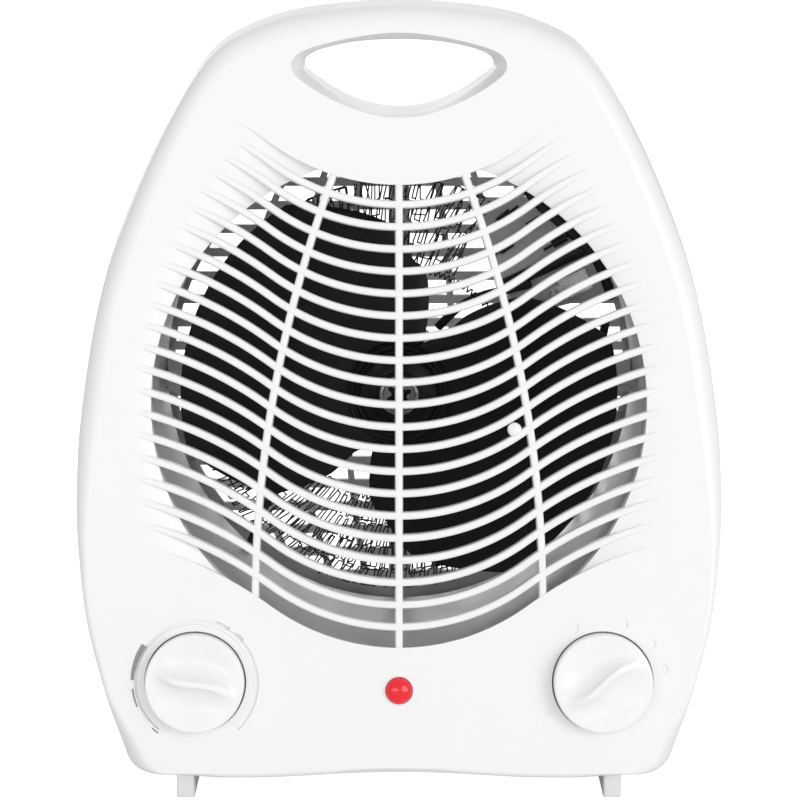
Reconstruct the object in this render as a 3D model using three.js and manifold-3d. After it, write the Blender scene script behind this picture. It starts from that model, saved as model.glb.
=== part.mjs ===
// Fan convector heater: two white plastic shells with a carry handle, a curved outlet grille,
// a two-bladed fan on a small motor, a zigzag wire element on mica, and two dials.
// Millimetres, +Z up, the outlet faces -Y, and the origin lies under the middle of the box.
import * as THREE from 'three';
import { mergeGeometries, mergeVertices } from 'three/addons/utils/BufferGeometryUtils.js';
import Module from 'manifold-3d';

const wasm = await Module();
wasm.setup();

// Driving dimensions
const HEIGHT = 259;
const CASE_FLOOR = 8;
const WALL = 2.2;
const SEAM_GAP = 0.15;
const CLEARANCE = 0.3;
const ORIGIN_SHIFT = 1.74;

const FACE_DEPTH = 39;
const FACE_SLOPE = 0.124;
const FACE_TILT = Math.atan(FACE_SLOPE);
const FRONT_EDGE_RADIUS = 7;
const FRONT_EDGE_TIGHT = 2.4;
const CORNER_CUT = 12;
const CORNER_REACH = 18;
const REAR_DEPTH = 49;
const REAR_SLOPE = 0.06;
const REAR_EDGE_RADIUS = 10;
const NECK_START = 210;
const NECK_END = 246;
const NECK_DEPTH = 22;
const DRAFT = 1.5;

const AXIS_HEIGHT = 130;
const OPENING_RADIUS = 80.3;
const SLAT_COUNT = 20;
const SLAT_PITCH = 7.2;
const SLAT_TOP = 194.5;
const SLAT_HEIGHT = 2.8;
const SLAT_DEPTH = 4.5;
const SLAT_SAG_RADIUS = 70.5;
const SLAT_TURN = 41.5;
const SLAT_RISE_RADIUS = 127;
const SLAT_STEPS = 12;
const RIB_WIDTH = 2.7;
const SKIN_TOP = 200.8;
const SKIN_BOTTOM = 51;

const INTAKE_RADIUS = 78;
const INTAKE_BAR = 3;
const INTAKE_PITCH = 8.2;
const INTAKE_RIB_SPACING = 18.5;
const INTAKE_RIB_WIDTH = 2.3;

const DUCT_RADIUS = 80;
const DUCT_WALL = 1;
const FAN_RADIUS = 72;
const FAN_PLANE = -13;
const HUB_RADIUS = 17;
const MOTOR_RADIUS = 18;
const MOTOR_FRONT = -4;
const MOTOR_BACK = 30;
const SHAFT_RADIUS = 1.5;
const BOARD_THICKNESS = 1;
const BOARD_FRONT = 4;
const BOARD_BACK = 22;
const WIRE_THICKNESS = 1;
const WIRE_TEETH = 24;

const DIAL_X = 66;
const DIAL_Z = 39.9;
const DIAL_RADIUS = 16;
const DIAL_HEIGHT = 6;
const DIAL_SKIRT = 3;
const DIAL_GAP = 1;
const WELL_DEPTH = 4;
const WELL_WALL = 1.8;
const GRIP_HEIGHT = 4;
const GRIP_SWING = 1.5;
const SPINDLE_RADIUS = 3;
const LAMP_Z = 37.2;
const LAMP_RADIUS = 4.4;

const THERMOSTAT_GRIP_ANGLE = -22;
const MODE_GRIP_ANGLE = 28;

const FOOT_X = 69.9;
const FOOT_WIDTH = 5.8;
const SCREW_HEAD_RADIUS = 3.2;
const INLET = { x: -52, z: 32, radius: 6 };

const COLOURS = {
  shell: { color: 0xf2f2f0, roughness: 0.35, metalness: 0 },
  dial: { color: 0xf4f4f2, roughness: 0.3, metalness: 0 },
  lens: { color: 0xe01e2d, roughness: 0.15, metalness: 0 },
  steel: { color: 0xa9abad, roughness: 0.4, metalness: 0.9 },
  wire: { color: 0x55524f, roughness: 0.45, metalness: 0.9 },
  mica: { color: 0x9a968c, roughness: 0.6, metalness: 0 },
  black: { color: 0x121212, roughness: 0.4, metalness: 0 },
  copper: { color: 0xb06a3c, roughness: 0.35, metalness: 0.9 },
  ferrite: { color: 0x2a2a2c, roughness: 0.7, metalness: 0 },
  brass: { color: 0xc8a860, roughness: 0.35, metalness: 0.9 },
};

const root = new THREE.Group();
root.position.set(0, ORIGIN_SHIFT, 0);

// Geometry and solid helpers
function move(x, y, z) {
  return new THREE.Matrix4().makeTranslation(x, y, z);
}

function turnX(angle) {
  return new THREE.Matrix4().makeRotationX(angle);
}

function turnY(angle) {
  return new THREE.Matrix4().makeRotationY(angle);
}

function solid(geometry, matrix = new THREE.Matrix4()) {
  const plain = geometry.clone().applyMatrix4(matrix);
  plain.deleteAttribute('normal');
  plain.deleteAttribute('uv');
  const merged = mergeVertices(plain, 1e-4);
  const vertProperties = new Float32Array(merged.attributes.position.array);
  const triVerts = new Uint32Array(merged.index.array);
  return new wasm.Manifold(new wasm.Mesh({ numProp: 3, vertProperties, triVerts }));
}

function unite(solids) {
  return solids.reduce((sum, next) => sum.add(next));
}

function geometryOf(body) {
  const mesh = body.getMesh();
  const geometry = new THREE.BufferGeometry();
  geometry.setAttribute('position', new THREE.BufferAttribute(new Float32Array(mesh.vertProperties), 3));
  geometry.setIndex(new THREE.BufferAttribute(new Uint32Array(mesh.triVerts), 1));
  geometry.computeVertexNormals();
  return geometry;
}

function addPiece(name, geometry, look, parent = root) {
  const mesh = new THREE.Mesh(geometry, new THREE.MeshStandardMaterial(COLOURS[look]));
  mesh.name = name;
  parent.add(mesh);
  return mesh;
}

function addSolid(name, body, look, parent = root) {
  return addPiece(name, geometryOf(body), look, parent);
}

// A cylinder along Y from y0 to y1.
function rod(radius, y0, y1, x = 0, z = 0, sides = 24) {
  const geometry = new THREE.CylinderGeometry(radius, radius, y1 - y0, sides);
  return solid(geometry, move(x, (y0 + y1) / 2, z));
}

function block(x0, x1, y0, y1, z0, z1) {
  const geometry = new THREE.BoxGeometry(x1 - x0, y1 - y0, z1 - z0);
  return solid(geometry, move((x0 + x1) / 2, (y0 + y1) / 2, (z0 + z1) / 2));
}

// Extrudes an outline drawn in x and z along Y from y0 to y1.
function prism(shape, y0, y1, curveSegments = 12) {
  const geometry = new THREE.ExtrudeGeometry(shape, { depth: y1 - y0, bevelEnabled: false, curveSegments });
  return solid(geometry, move(0, y1, 0).multiply(turnX(Math.PI / 2)));
}

function polygon(points) {
  return new THREE.Shape(points.map(([x, z]) => new THREE.Vector2(x, z)));
}

// Joins rings of points into one closed body, with a fan over the first and the last ring.
function loft(rings) {
  const count = rings[0].length;
  const positions = rings.flat(2);
  const index = [];
  for (let level = 0; level < rings.length - 1; level += 1) {
    for (let i = 0; i < count; i += 1) {
      const a = level * count + i;
      const b = level * count + ((i + 1) % count);
      index.push(a, b, b + count, a, b + count, a + count);
    }
  }
  for (const [level, flip] of [[0, true], [rings.length - 1, false]]) {
    const middle = positions.length / 3;
    const sum = [0, 1, 2].map((axis) => rings[level].reduce((total, p) => total + p[axis], 0) / count);
    positions.push(...sum);
    for (let i = 0; i < count; i += 1) {
      const a = level * count + i;
      const b = level * count + ((i + 1) % count);
      index.push(...(flip ? [middle, b, a] : [middle, a, b]));
    }
  }
  const geometry = new THREE.BufferGeometry();
  geometry.setAttribute('position', new THREE.Float32BufferAttribute(positions, 3));
  geometry.setIndex(index);
  return geometry;
}

// Casing outline, seen from the front: a tall arch, widest low down, with small bottom corners.
function halfOutline() {
  const side = new THREE.SplineCurve([
    [0, HEIGHT], [31, 256.3], [49, 250.8], [61, 243], [73, 225.7], [86, 199.3],
    [98, 166], [104.8, 126.5], [106.2, 98], [104.9, 76], [101.8, 55], [94.8, 29.5], [90.8, 14],
  ].map(([x, z]) => new THREE.Vector2(x, z)));
  const corner = new THREE.QuadraticBezierCurve(
    new THREE.Vector2(90.8, 14), new THREE.Vector2(89.4, CASE_FLOOR), new THREE.Vector2(82, CASE_FLOOR));
  const points = side.getSpacedPoints(19).concat(corner.getPoints(3).slice(1));
  points.push(new THREE.Vector2(44, CASE_FLOOR));
  return points;
}

const HALF = halfOutline();
const OUTLINE = HALF.concat([new THREE.Vector2(0, CASE_FLOOR)],
  HALF.slice(1).reverse().map((p) => new THREE.Vector2(-p.x, p.y)));
const OUTLINE_CENTRE = new THREE.Vector2(0, 120);

// Every outline point moved towards the centre of the casing, and sideways by its own cut.
function insetOutline(distanceAt, cutAt = () => 0) {
  return OUTLINE.map((p) => {
    const toCentre = OUTLINE_CENTRE.clone().sub(p);
    const moved = p.clone().addScaledVector(toCentre.normalize(), distanceAt(p));
    moved.x -= Math.sign(p.x) * cutAt(p);
    return moved;
  });
}

// The front rim is soft over the handle and tight beside the dials. At the bottom corners it is
// also cut back sideways, which leaves a curved facet there.
function frontRim(p) {
  const blend = THREE.MathUtils.smoothstep(p.y, 60, 130);
  const radius = FRONT_EDGE_TIGHT + (FRONT_EDGE_RADIUS - FRONT_EDGE_TIGHT) * blend;
  const corner = THREE.MathUtils.smoothstep(Math.abs(p.x), 56, 90)
    * (1 - THREE.MathUtils.smoothstep(p.y, CASE_FLOOR, 36));
  return { radius, cut: CORNER_CUT * corner, reach: CORNER_REACH * corner };
}

function rearRim() {
  return { radius: REAR_EDGE_RADIUS, cut: 0, reach: 0 };
}

function frontDepth(z) {
  return FACE_DEPTH - FACE_SLOPE * (z - AXIS_HEIGHT);
}

// The back is flat behind the fan and slims down to the handle above it.
function rearDepth(z) {
  const flat = REAR_DEPTH - REAR_SLOPE * (z - AXIS_HEIGHT);
  const t = THREE.MathUtils.smoothstep(z, NECK_START, NECK_END);
  return flat * (1 - t) + NECK_DEPTH * t;
}

// Half of the casing as a full body, drawn in by `wall` all over.
function casingBody(side, depthAt, rimAt, wall, startY, shrinks) {
  const rings = [insetOutline(() => wall).map((p) => [p.x, side * startY, p.y])];
  for (const angle of [0, Math.PI / 6, Math.PI / 3, Math.PI / 2]) {
    const turnIn = 1 - Math.cos(angle);
    const turnBack = 1 - Math.sin(angle);
    const flat = insetOutline(
      (p) => wall + DRAFT + (rimAt(p).radius - wall) * turnIn, (p) => rimAt(p).cut * turnIn);
    rings.push(flat.map((q, i) => {
      const rim = rimAt(OUTLINE[i]);
      const back = (rim.radius - wall + rim.reach) * turnBack;
      return [q.x, side * (depthAt(q.y) - wall - back), q.y];
    }));
  }
  const edge = insetOutline((p) => DRAFT + rimAt(p).radius, (p) => rimAt(p).cut);
  for (const shrink of shrinks) {
    rings.push(edge.map((p) => {
      const q = OUTLINE_CENTRE.clone().lerp(p, shrink);
      return [q.x, side * (depthAt(q.y) - wall), q.y];
    }));
  }
  return solid(loft(side > 0 ? rings : rings.reverse()));
}

// Finger hole of the carry handle: arched top, deep round bottom.
function handleShape(margin) {
  const half = [[0, 246.2], [14, 245.4], [24.5, 243.2], [29.6, 240.9], [31.2, 238.2], [30.2, 235.6],
    [26, 232.2], [19.5, 227.8], [12.5, 224.4], [6, 222.7], [0, 222.3]];
  const full = half.concat(half.slice(1, -1).reverse().map(([x, z]) => [-x, z]));
  const centreZ = 235;
  return polygon(full.map(([x, z]) => {
    const length = Math.hypot(x, z - centreZ);
    return [x * (1 + margin / length), centreZ + (z - centreZ) * (1 + margin / length)];
  }));
}

// Height of a slat above its own middle: a sagging arc that turns into an opposite arc.
function slatRise(x) {
  const a = Math.abs(x);
  if (a <= SLAT_TURN) {
    return SLAT_SAG_RADIUS - Math.sqrt(SLAT_SAG_RADIUS ** 2 - a ** 2);
  }
  const angle = Math.asin(SLAT_TURN / SLAT_SAG_RADIUS);
  const centreX = SLAT_TURN + SLAT_RISE_RADIUS * Math.sin(angle);
  const turnRise = SLAT_SAG_RADIUS * (1 - Math.cos(angle));
  const centreRise = turnRise - SLAT_RISE_RADIUS * Math.cos(angle);
  return centreRise + Math.sqrt(SLAT_RISE_RADIUS ** 2 - (centreX - a) ** 2);
}

function bandShape(lower, upper, halfWidth, steps) {
  const xs = Array.from({ length: steps + 1 }, (_, i) => -halfWidth + (2 * halfWidth * i) / steps);
  const bottom = xs.map((x) => [x, lower(x)]);
  const top = xs.map((x) => [x, upper(x)]).reverse();
  return polygon(bottom.concat(top));
}

// Upright rib that bows away from the middle line, as a band in x and z.
function bowedRib(offsetAt, width, z0, z1, steps) {
  const zs = Array.from({ length: steps + 1 }, (_, i) => z0 + ((z1 - z0) * i) / steps);
  const right = zs.map((z) => [offsetAt(z) + width / 2, z]);
  const left = zs.map((z) => [offsetAt(z) - width / 2, z]).reverse();
  return polygon(right.concat(left));
}

function frontRibOffset(z) {
  return 46.6 - 0.00133 * (z - 66) ** 2;
}

// Places a body drawn against the plane y = 0 onto the leaning front face.
const FACE_MATRIX = move(0, -FACE_DEPTH, AXIS_HEIGHT)
  .multiply(turnX(-FACE_TILT))
  .multiply(move(0, 0, -AXIS_HEIGHT));

function onFace(body) {
  return body.transform(FACE_MATRIX.toArray());
}

function outletGrille() {
  const bars = [];
  for (let i = 0; i < SLAT_COUNT; i += 1) {
    const z = SLAT_TOP - i * SLAT_PITCH;
    const shape = bandShape((x) => z + slatRise(x) - SLAT_HEIGHT / 2,
      (x) => z + slatRise(x) + SLAT_HEIGHT / 2, OPENING_RADIUS + 2, SLAT_STEPS);
    bars.push(prism(shape, 0.8, 0.8 + SLAT_DEPTH));
  }
  for (const side of [-1, 0, 1]) {
    const shape = bowedRib((z) => side * frontRibOffset(z), RIB_WIDTH, 46, 214, side === 0 ? 1 : 6);
    bars.push(prism(shape, 1, 0.6 + SLAT_DEPTH));
  }
  return unite(bars).intersect(rod(OPENING_RADIUS + 0.8, -2, 12, 0, AXIS_HEIGHT, 48));
}

// The opening is a circle whose top and bottom follow the sweep of the slats.
function outletOpening() {
  const window = bandShape((x) => SKIN_BOTTOM + slatRise(x), (x) => SKIN_TOP + slatRise(x),
    OPENING_RADIUS + 1, SLAT_STEPS);
  return prism(window, -3, 10).intersect(rod(OPENING_RADIUS, -4, 12, 0, AXIS_HEIGHT, 48));
}

const SCREW_POSTS = [[-81, 26], [81, 26], [-63, 221], [63, 221]];

function buildFrontCasing() {
  const outer = casingBody(-1, frontDepth, frontRim, 0, SEAM_GAP, []);
  const inner = casingBody(-1, frontDepth, frontRim, WALL, -1, []);
  let shell = outer.subtract(inner);
  const sleeve = prism(handleShape(WALL), -60, -SEAM_GAP);
  shell = shell.add(sleeve.intersect(outer)).subtract(prism(handleShape(0), -70, 1));
  shell = shell.subtract(onFace(outletOpening())).add(onFace(outletGrille()));
  for (const [x, z] of SCREW_POSTS) {
    shell = shell.add(rod(3.6, 1 - frontDepth(z), -SEAM_GAP, x, z, 12).intersect(outer));
    shell = shell.subtract(rod(1.5, -16, 1, x, z, 8));
  }
  for (const x of [-DIAL_X, DIAL_X]) {
    const wellRadius = DIAL_RADIUS + DIAL_GAP;
    shell = shell.add(onFace(rod(wellRadius + WELL_WALL, 0.5, WELL_DEPTH + WELL_WALL, x, DIAL_Z, 36)));
    shell = shell.subtract(onFace(rod(wellRadius, -5, WELL_DEPTH, x, DIAL_Z, 36)));
    shell = shell.subtract(onFace(rod(SPINDLE_RADIUS + CLEARANCE, -5, 8, x, DIAL_Z, 16)));
  }
  shell = shell.subtract(onFace(rod(LAMP_RADIUS, -5, 8, 0, LAMP_Z, 24)));
  addSolid('front_casing', shell, 'shell');
}

function buildRearCasing() {
  const shrinks = [0.93, 0.86, 0.78, 0.68];
  const outer = casingBody(1, rearDepth, rearRim, 0, SEAM_GAP, shrinks);
  const inner = casingBody(1, rearDepth, rearRim, WALL, -1, shrinks);
  let shell = outer.subtract(inner);
  const sleeve = prism(handleShape(WALL), SEAM_GAP, 60);
  shell = shell.add(sleeve.intersect(outer)).subtract(prism(handleShape(0), -1, 70));
  shell = shell.subtract(rod(INTAKE_RADIUS, 30, 70, 0, AXIS_HEIGHT, 48));
  const bars = [];
  for (let i = -9; i <= 9; i += 1) {
    const z = AXIS_HEIGHT + i * INTAKE_PITCH;
    const half = Math.sqrt((INTAKE_RADIUS + 0.8) ** 2 - (z - AXIS_HEIGHT) ** 2);
    const back = rearDepth(z) - 0.6;
    bars.push(block(-half, half, back - 3.4, back, z - INTAKE_BAR / 2, z + INTAKE_BAR / 2));
  }
  for (let n = -3; n <= 3; n += 1) {
    const offset = (z) => n * INTAKE_RIB_SPACING * (1 - 0.4 * ((z - AXIS_HEIGHT) / INTAKE_RADIUS) ** 2);
    const width = n === 0 ? 7.3 : INTAKE_RIB_WIDTH;
    const shape = bowedRib(offset, width, 50, 210, n === 0 ? 1 : 4);
    const upright = prism(shape, -1.4, 1.4);
    const lean = move(0, REAR_DEPTH - 2.4, AXIS_HEIGHT).multiply(turnX(Math.atan(REAR_SLOPE)))
      .multiply(move(0, 0, -AXIS_HEIGHT));
    bars.push(upright.transform(lean.toArray()));
  }
  const ring = rod(INTAKE_RADIUS + 0.8, 30, 70, 0, AXIS_HEIGHT, 48);
  shell = shell.add(unite(bars).intersect(ring));
  for (const [x, z] of SCREW_POSTS) {
    const back = rearDepth(z);
    const post = rod(5.2, SEAM_GAP, 70, x, z, 12).intersect(outer);
    shell = shell.add(post).subtract(rod(2.2, -1, 70, x, z, 8));
    shell = shell.subtract(rod(SCREW_HEAD_RADIUS + CLEARANCE, 8, back + 20, x, z, 16));
  }
  shell = shell.subtract(rod(INLET.radius, 30, 70, INLET.x, INLET.z, 24));
  addSolid('rear_casing', shell, 'shell');
}

function buildCasingScrews() {
  SCREW_POSTS.forEach(([x, z], i) => {
    const head = rod(SCREW_HEAD_RADIUS, 8 + CLEARANCE, 10.6, x, z, 16);
    const slot = block(x - 0.5, x + 0.5, 9.6, 12, z - 2.2, z + 2.2);
    const crossSlot = block(x - 2.2, x + 2.2, 9.6, 12, z - 0.5, z + 0.5);
    const shank = rod(1.2, -14, 9, x, z, 8);
    addSolid(`casing_screw_${i + 1}`, head.subtract(slot).subtract(crossSlot).add(shank), 'steel');
  });
}

// Two skids run front to back under the casing, and their tops follow its drafted floor.
function buildFeet() {
  const top = CASE_FLOOR - CLEARANCE;
  const lift = 1.2;
  const profile = [[-42.7, 0], [44, 0], [46, top + lift], [0, top], [-44, top + lift]];
  for (const [name, side] of [['left_foot', -1], ['right_foot', 1]]) {
    const shape = new THREE.Shape(profile.map(([y, z]) => new THREE.Vector2(y, z)));
    const geometry = new THREE.ExtrudeGeometry(shape, { depth: FOOT_WIDTH, bevelEnabled: false });
    const place = move(side * FOOT_X - FOOT_WIDTH / 2, 0, 0)
      .multiply(new THREE.Matrix4().makeBasis(
        new THREE.Vector3(0, 1, 0), new THREE.Vector3(0, 0, 1), new THREE.Vector3(1, 0, 0)));
    addSolid(name, solid(geometry, place), 'shell');
  }
}

// Steel duct around the fan, its front edge cut to follow the leaning face.
function buildDuct() {
  const ring = rod(DUCT_RADIUS + DUCT_WALL, -60, 45, 0, AXIS_HEIGHT, 48)
    .subtract(rod(DUCT_RADIUS, -61, 46, 0, AXIS_HEIGHT, 48));
  const behindFace = onFace(block(-90, 90, 6, 130, 20, 240));
  const rearTrim = block(-90, 90, -60, 39, 20, 240);
  addSolid('heater_duct', ring.intersect(behindFace).intersect(rearTrim), 'steel');
}

// Four mica boards stand across the duct and stop short of the motor.
function buildMicaBoards() {
  const half = BOARD_THICKNESS / 2;
  const inner = MOTOR_RADIUS + 1.5;
  const outer = DUCT_RADIUS - 0.6;
  ['right', 'upper', 'left', 'lower'].forEach((side, i) => {
    const board = new THREE.BoxGeometry(outer - inner, BOARD_BACK - BOARD_FRONT, 2 * half);
    const place = move(0, (BOARD_FRONT + BOARD_BACK) / 2, AXIS_HEIGHT)
      .multiply(turnY((-i * Math.PI) / 2))
      .multiply(move((inner + outer) / 2, 0, 0));
    addSolid(`mica_board_${side}`, solid(board, place), 'mica');
  });
}

// Flat zigzag resistance wire that runs once round the boards.
function zigzagShape(inner, outer) {
  const edge = (shift) => {
    const points = [];
    for (let i = 0; i < WIRE_TEETH * 2; i += 1) {
      const angle = (Math.PI * (i + 0.5)) / WIRE_TEETH;
      const radius = (i % 2 === 0 ? inner : outer) + shift;
      points.push(new THREE.Vector2(radius * Math.cos(angle), AXIS_HEIGHT + radius * Math.sin(angle)));
    }
    return points;
  };
  const shape = new THREE.Shape(edge(1.1));
  shape.holes.push(new THREE.Path(edge(-1.1).reverse()));
  return shape;
}

function buildHeatingWires() {
  const bands = [
    ['heating_wire_inner', 42.2, 47.4],
    ['heating_wire_middle', 50.9, 56.1],
    ['heating_wire_outer', 59.6, 65],
  ];
  for (const [name, inner, outer] of bands) {
    const y = BOARD_FRONT - CLEARANCE - WIRE_THICKNESS;
    addSolid(name, prism(zigzagShape(inner, outer), y, y + WIRE_THICKNESS), 'wire');
  }
}

// Two wide blades, half a turn apart, on a ridged hub with a metal boss.
function bladeSolid() {
  const tip = [121, 140, 158, 176, 195].map((degrees) => [FAN_RADIUS, degrees]);
  const edge = [[15, 62], [39, 76], [44, 84], [56, 94], [66, 112], ...tip,
    [58, 210], [42, 222], [22, 228], [15, 235]];
  const twist = 0.14;
  const count = edge.length;
  const ring = (shift) => edge.map(([radius, degrees]) => {
    const angle = THREE.MathUtils.degToRad(degrees);
    const lift = twist * radius * Math.sin(THREE.MathUtils.degToRad(degrees - 158));
    return [radius * Math.cos(angle), shift - lift, radius * Math.sin(angle)];
  });
  const positions = ring(-0.6).concat(ring(0.6)).flat();
  const flat = edge.map(([radius, degrees]) => {
    const angle = THREE.MathUtils.degToRad(degrees);
    return new THREE.Vector2(radius * Math.cos(angle), radius * Math.sin(angle));
  });
  const index = [];
  for (const [a, b, c] of THREE.ShapeUtils.triangulateShape(flat, [])) {
    index.push(a, b, c, a + count, c + count, b + count);
  }
  for (let i = 0; i < count; i += 1) {
    const j = (i + 1) % count;
    index.push(i, i + count, j, j, i + count, j + count);
  }
  const geometry = new THREE.BufferGeometry();
  geometry.setAttribute('position', new THREE.Float32BufferAttribute(positions, 3));
  geometry.setIndex(index);
  return geometry;
}

function buildFan() {
  const centre = move(0, FAN_PLANE, AXIS_HEIGHT);
  const blade = bladeSolid();
  const hub = rod(HUB_RADIUS, FAN_PLANE - 3, FAN_PLANE + 3, 0, AXIS_HEIGHT, 32);
  const boss = rod(7, FAN_PLANE - 6, FAN_PLANE - 2, 0, AXIS_HEIGHT, 24);
  let fan = unite([hub, boss, solid(blade, centre), solid(blade, centre.clone().multiply(turnY(Math.PI)))]);
  fan = fan.subtract(rod(SHAFT_RADIUS + CLEARANCE, -40, 20, 0, AXIS_HEIGHT, 16));
  addSolid('fan', fan, 'black');

  const clipFront = FAN_PLANE - 7.6;
  const clip = rod(4.2, clipFront, clipFront + 1.2, 0, AXIS_HEIGHT, 20)
    .subtract(rod(SHAFT_RADIUS + CLEARANCE, -40, 20, 0, AXIS_HEIGHT, 12));
  addSolid('fan_retaining_clip', clip, 'steel');
}

// A small motor: can, magnets, wound rotor on the shaft, and an end cap at the back.
function buildMotor() {
  const bore = SHAFT_RADIUS + CLEARANCE;
  const can = rod(MOTOR_RADIUS, MOTOR_FRONT, MOTOR_BACK - 3, 0, AXIS_HEIGHT, 32)
    .subtract(rod(MOTOR_RADIUS - 1.2, MOTOR_FRONT + 1.5, MOTOR_BACK, 0, AXIS_HEIGHT, 32))
    .subtract(rod(bore, -40, 40, 0, AXIS_HEIGHT, 12));
  addSolid('motor_can', can, 'steel');

  const cap = rod(MOTOR_RADIUS, MOTOR_BACK - 2.7, MOTOR_BACK, 0, AXIS_HEIGHT, 32)
    .add(rod(5, MOTOR_BACK - 1, MOTOR_BACK + 2, 0, AXIS_HEIGHT, 16))
    .subtract(rod(bore, -40, 60, 0, AXIS_HEIGHT, 12));
  addSolid('motor_end_cap', cap, 'black');

  const magnetRing = rod(MOTOR_RADIUS - 1.6, 2, 22, 0, AXIS_HEIGHT, 32)
    .subtract(rod(MOTOR_RADIUS - 4.6, 1, 23, 0, AXIS_HEIGHT, 32));
  for (const [name, side] of [['motor_magnet_left', -1], ['motor_magnet_right', 1]]) {
    const keep = side < 0 ? block(-30, -4, 0, 30, 100, 160) : block(4, 30, 0, 30, 100, 160);
    addSolid(name, magnetRing.intersect(keep), 'ferrite');
  }
  addSolid('motor_shaft', rod(SHAFT_RADIUS, FAN_PLANE - 8.2, MOTOR_BACK + 3, 0, AXIS_HEIGHT, 12), 'steel');

  const core = rod(12.6, 4, 20, 0, AXIS_HEIGHT, 24);
  const grooves = [0, 1, 2, 3, 4].map((i) => {
    const angle = (i * 2 * Math.PI) / 5;
    return rod(2.4, 3, 21, 10.8 * Math.cos(angle), AXIS_HEIGHT + 10.8 * Math.sin(angle), 12);
  });
  const armature = core.subtract(unite(grooves)).subtract(rod(bore, -10, 40, 0, AXIS_HEIGHT, 12));
  addSolid('motor_armature', armature, 'copper');
}

// Steel strap that carries the motor from both sides of the duct.
function buildMotorBracket() {
  const front = MOTOR_BACK + 0.3;
  const strap = block(-79.4, 79.4, front, front + 1.4, AXIS_HEIGHT - 6, AXIS_HEIGHT + 6);
  const plate = rod(MOTOR_RADIUS, front, front + 1.4, 0, AXIS_HEIGHT, 24);
  const tabs = [-79.4, 78].map((x) => block(x, x + 1.4, front, front + 9, AXIS_HEIGHT - 6, AXIS_HEIGHT + 6));
  const hole = rod(5.5, 20, 60, 0, AXIS_HEIGHT, 16);
  const screwHoles = [-11, 11].map((x) => rod(1.8, 20, 60, x, AXIS_HEIGHT, 8));
  addSolid('motor_bracket', unite([strap, plate, ...tabs]).subtract(unite([hole, ...screwHoles])), 'steel');
  [-11, 11].forEach((x, i) => {
    const head = rod(2.8, front + 1.7, front + 3.5, x, AXIS_HEIGHT, 12);
    const shank = rod(1.4, front + 0.1, front + 2, x, AXIS_HEIGHT, 8);
    addSolid(`motor_screw_${i + 1}`, head.add(shank), 'steel');
  });
}

// Mica plate behind the wires with the safety parts and the motor's rectifier.
function buildSafetyPlate() {
  const plateFront = 17;
  const plateShape = polygon([[29, 192], [29, 176], [34, 161], [46, 153], [62, 157], [76, 157], [76, 192]]);
  const plate = prism(plateShape, plateFront, plateFront + 1)
    .intersect(rod(DUCT_RADIUS - 0.6, 10, 30, 0, AXIS_HEIGHT, 48));
  addSolid('mica_component_plate', plate, 'mica');

  const place = (x, z, degrees) => move(x, plateFront, z).multiply(turnY(-THREE.MathUtils.degToRad(degrees)));
  const fuse = new THREE.CylinderGeometry(2.3, 2.3, 33, 12).rotateZ(Math.PI / 2);
  addSolid('thermal_fuse', solid(fuse, place(49.6, 169, 25).multiply(move(0, -2.8, 0))), 'black');

  const cutoutBase = new THREE.BoxGeometry(10, 3, 7);
  const cutoutStrip = new THREE.BoxGeometry(15, 0.6, 4);
  const cutoutAt = place(59.5, 163, 25);
  const cutout = solid(cutoutBase, cutoutAt.clone().multiply(move(0, -1.9, 0)))
    .add(solid(cutoutStrip, cutoutAt.clone().multiply(move(-4, -3.5, 0))));
  addSolid('thermal_cutout', cutout, 'steel');

  const diodes = [[35.5, 185.5, 40], [36, 175.5, 35], [45.5, 183.5, 30], [54, 177.5, 31]];
  diodes.forEach(([x, z, degrees], i) => {
    const profile = [[0, -6], [0.45, -6], [0.45, -2.6], [1.4, -2.6],
      [1.4, 2.6], [0.45, 2.6], [0.45, 6], [0, 6]];
    const diode = new THREE.LatheGeometry(profile.map(([r, y]) => new THREE.Vector2(r, y)), 10);
    diode.rotateZ(Math.PI / 2);
    const diodePlace = place(x, z, degrees).multiply(move(0, -1.8, 0));
    addSolid(`rectifier_diode_${i + 1}`, solid(diode, diodePlace), 'black');
  });
}

// A dial on the leaning face: cap with an S-shaped grip, its spindle, and the control behind.
function gripShape() {
  const half = [];
  const steps = 10;
  for (let i = 0; i <= steps; i += 1) {
    const t = -1 + (2 * i) / steps;
    const x = t * (DIAL_RADIUS - 1);
    half.push([x, GRIP_SWING * Math.sin(Math.PI * t)]);
  }
  const width = (x) => 2.1 * Math.sqrt(Math.max(0.12, 1 - (x / DIAL_RADIUS) ** 2));
  const upper = half.map(([x, z]) => [x, z + width(x)]);
  const lower = half.map(([x, z]) => [x, z - width(x)]).reverse();
  return polygon(lower.concat(upper));
}

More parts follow.
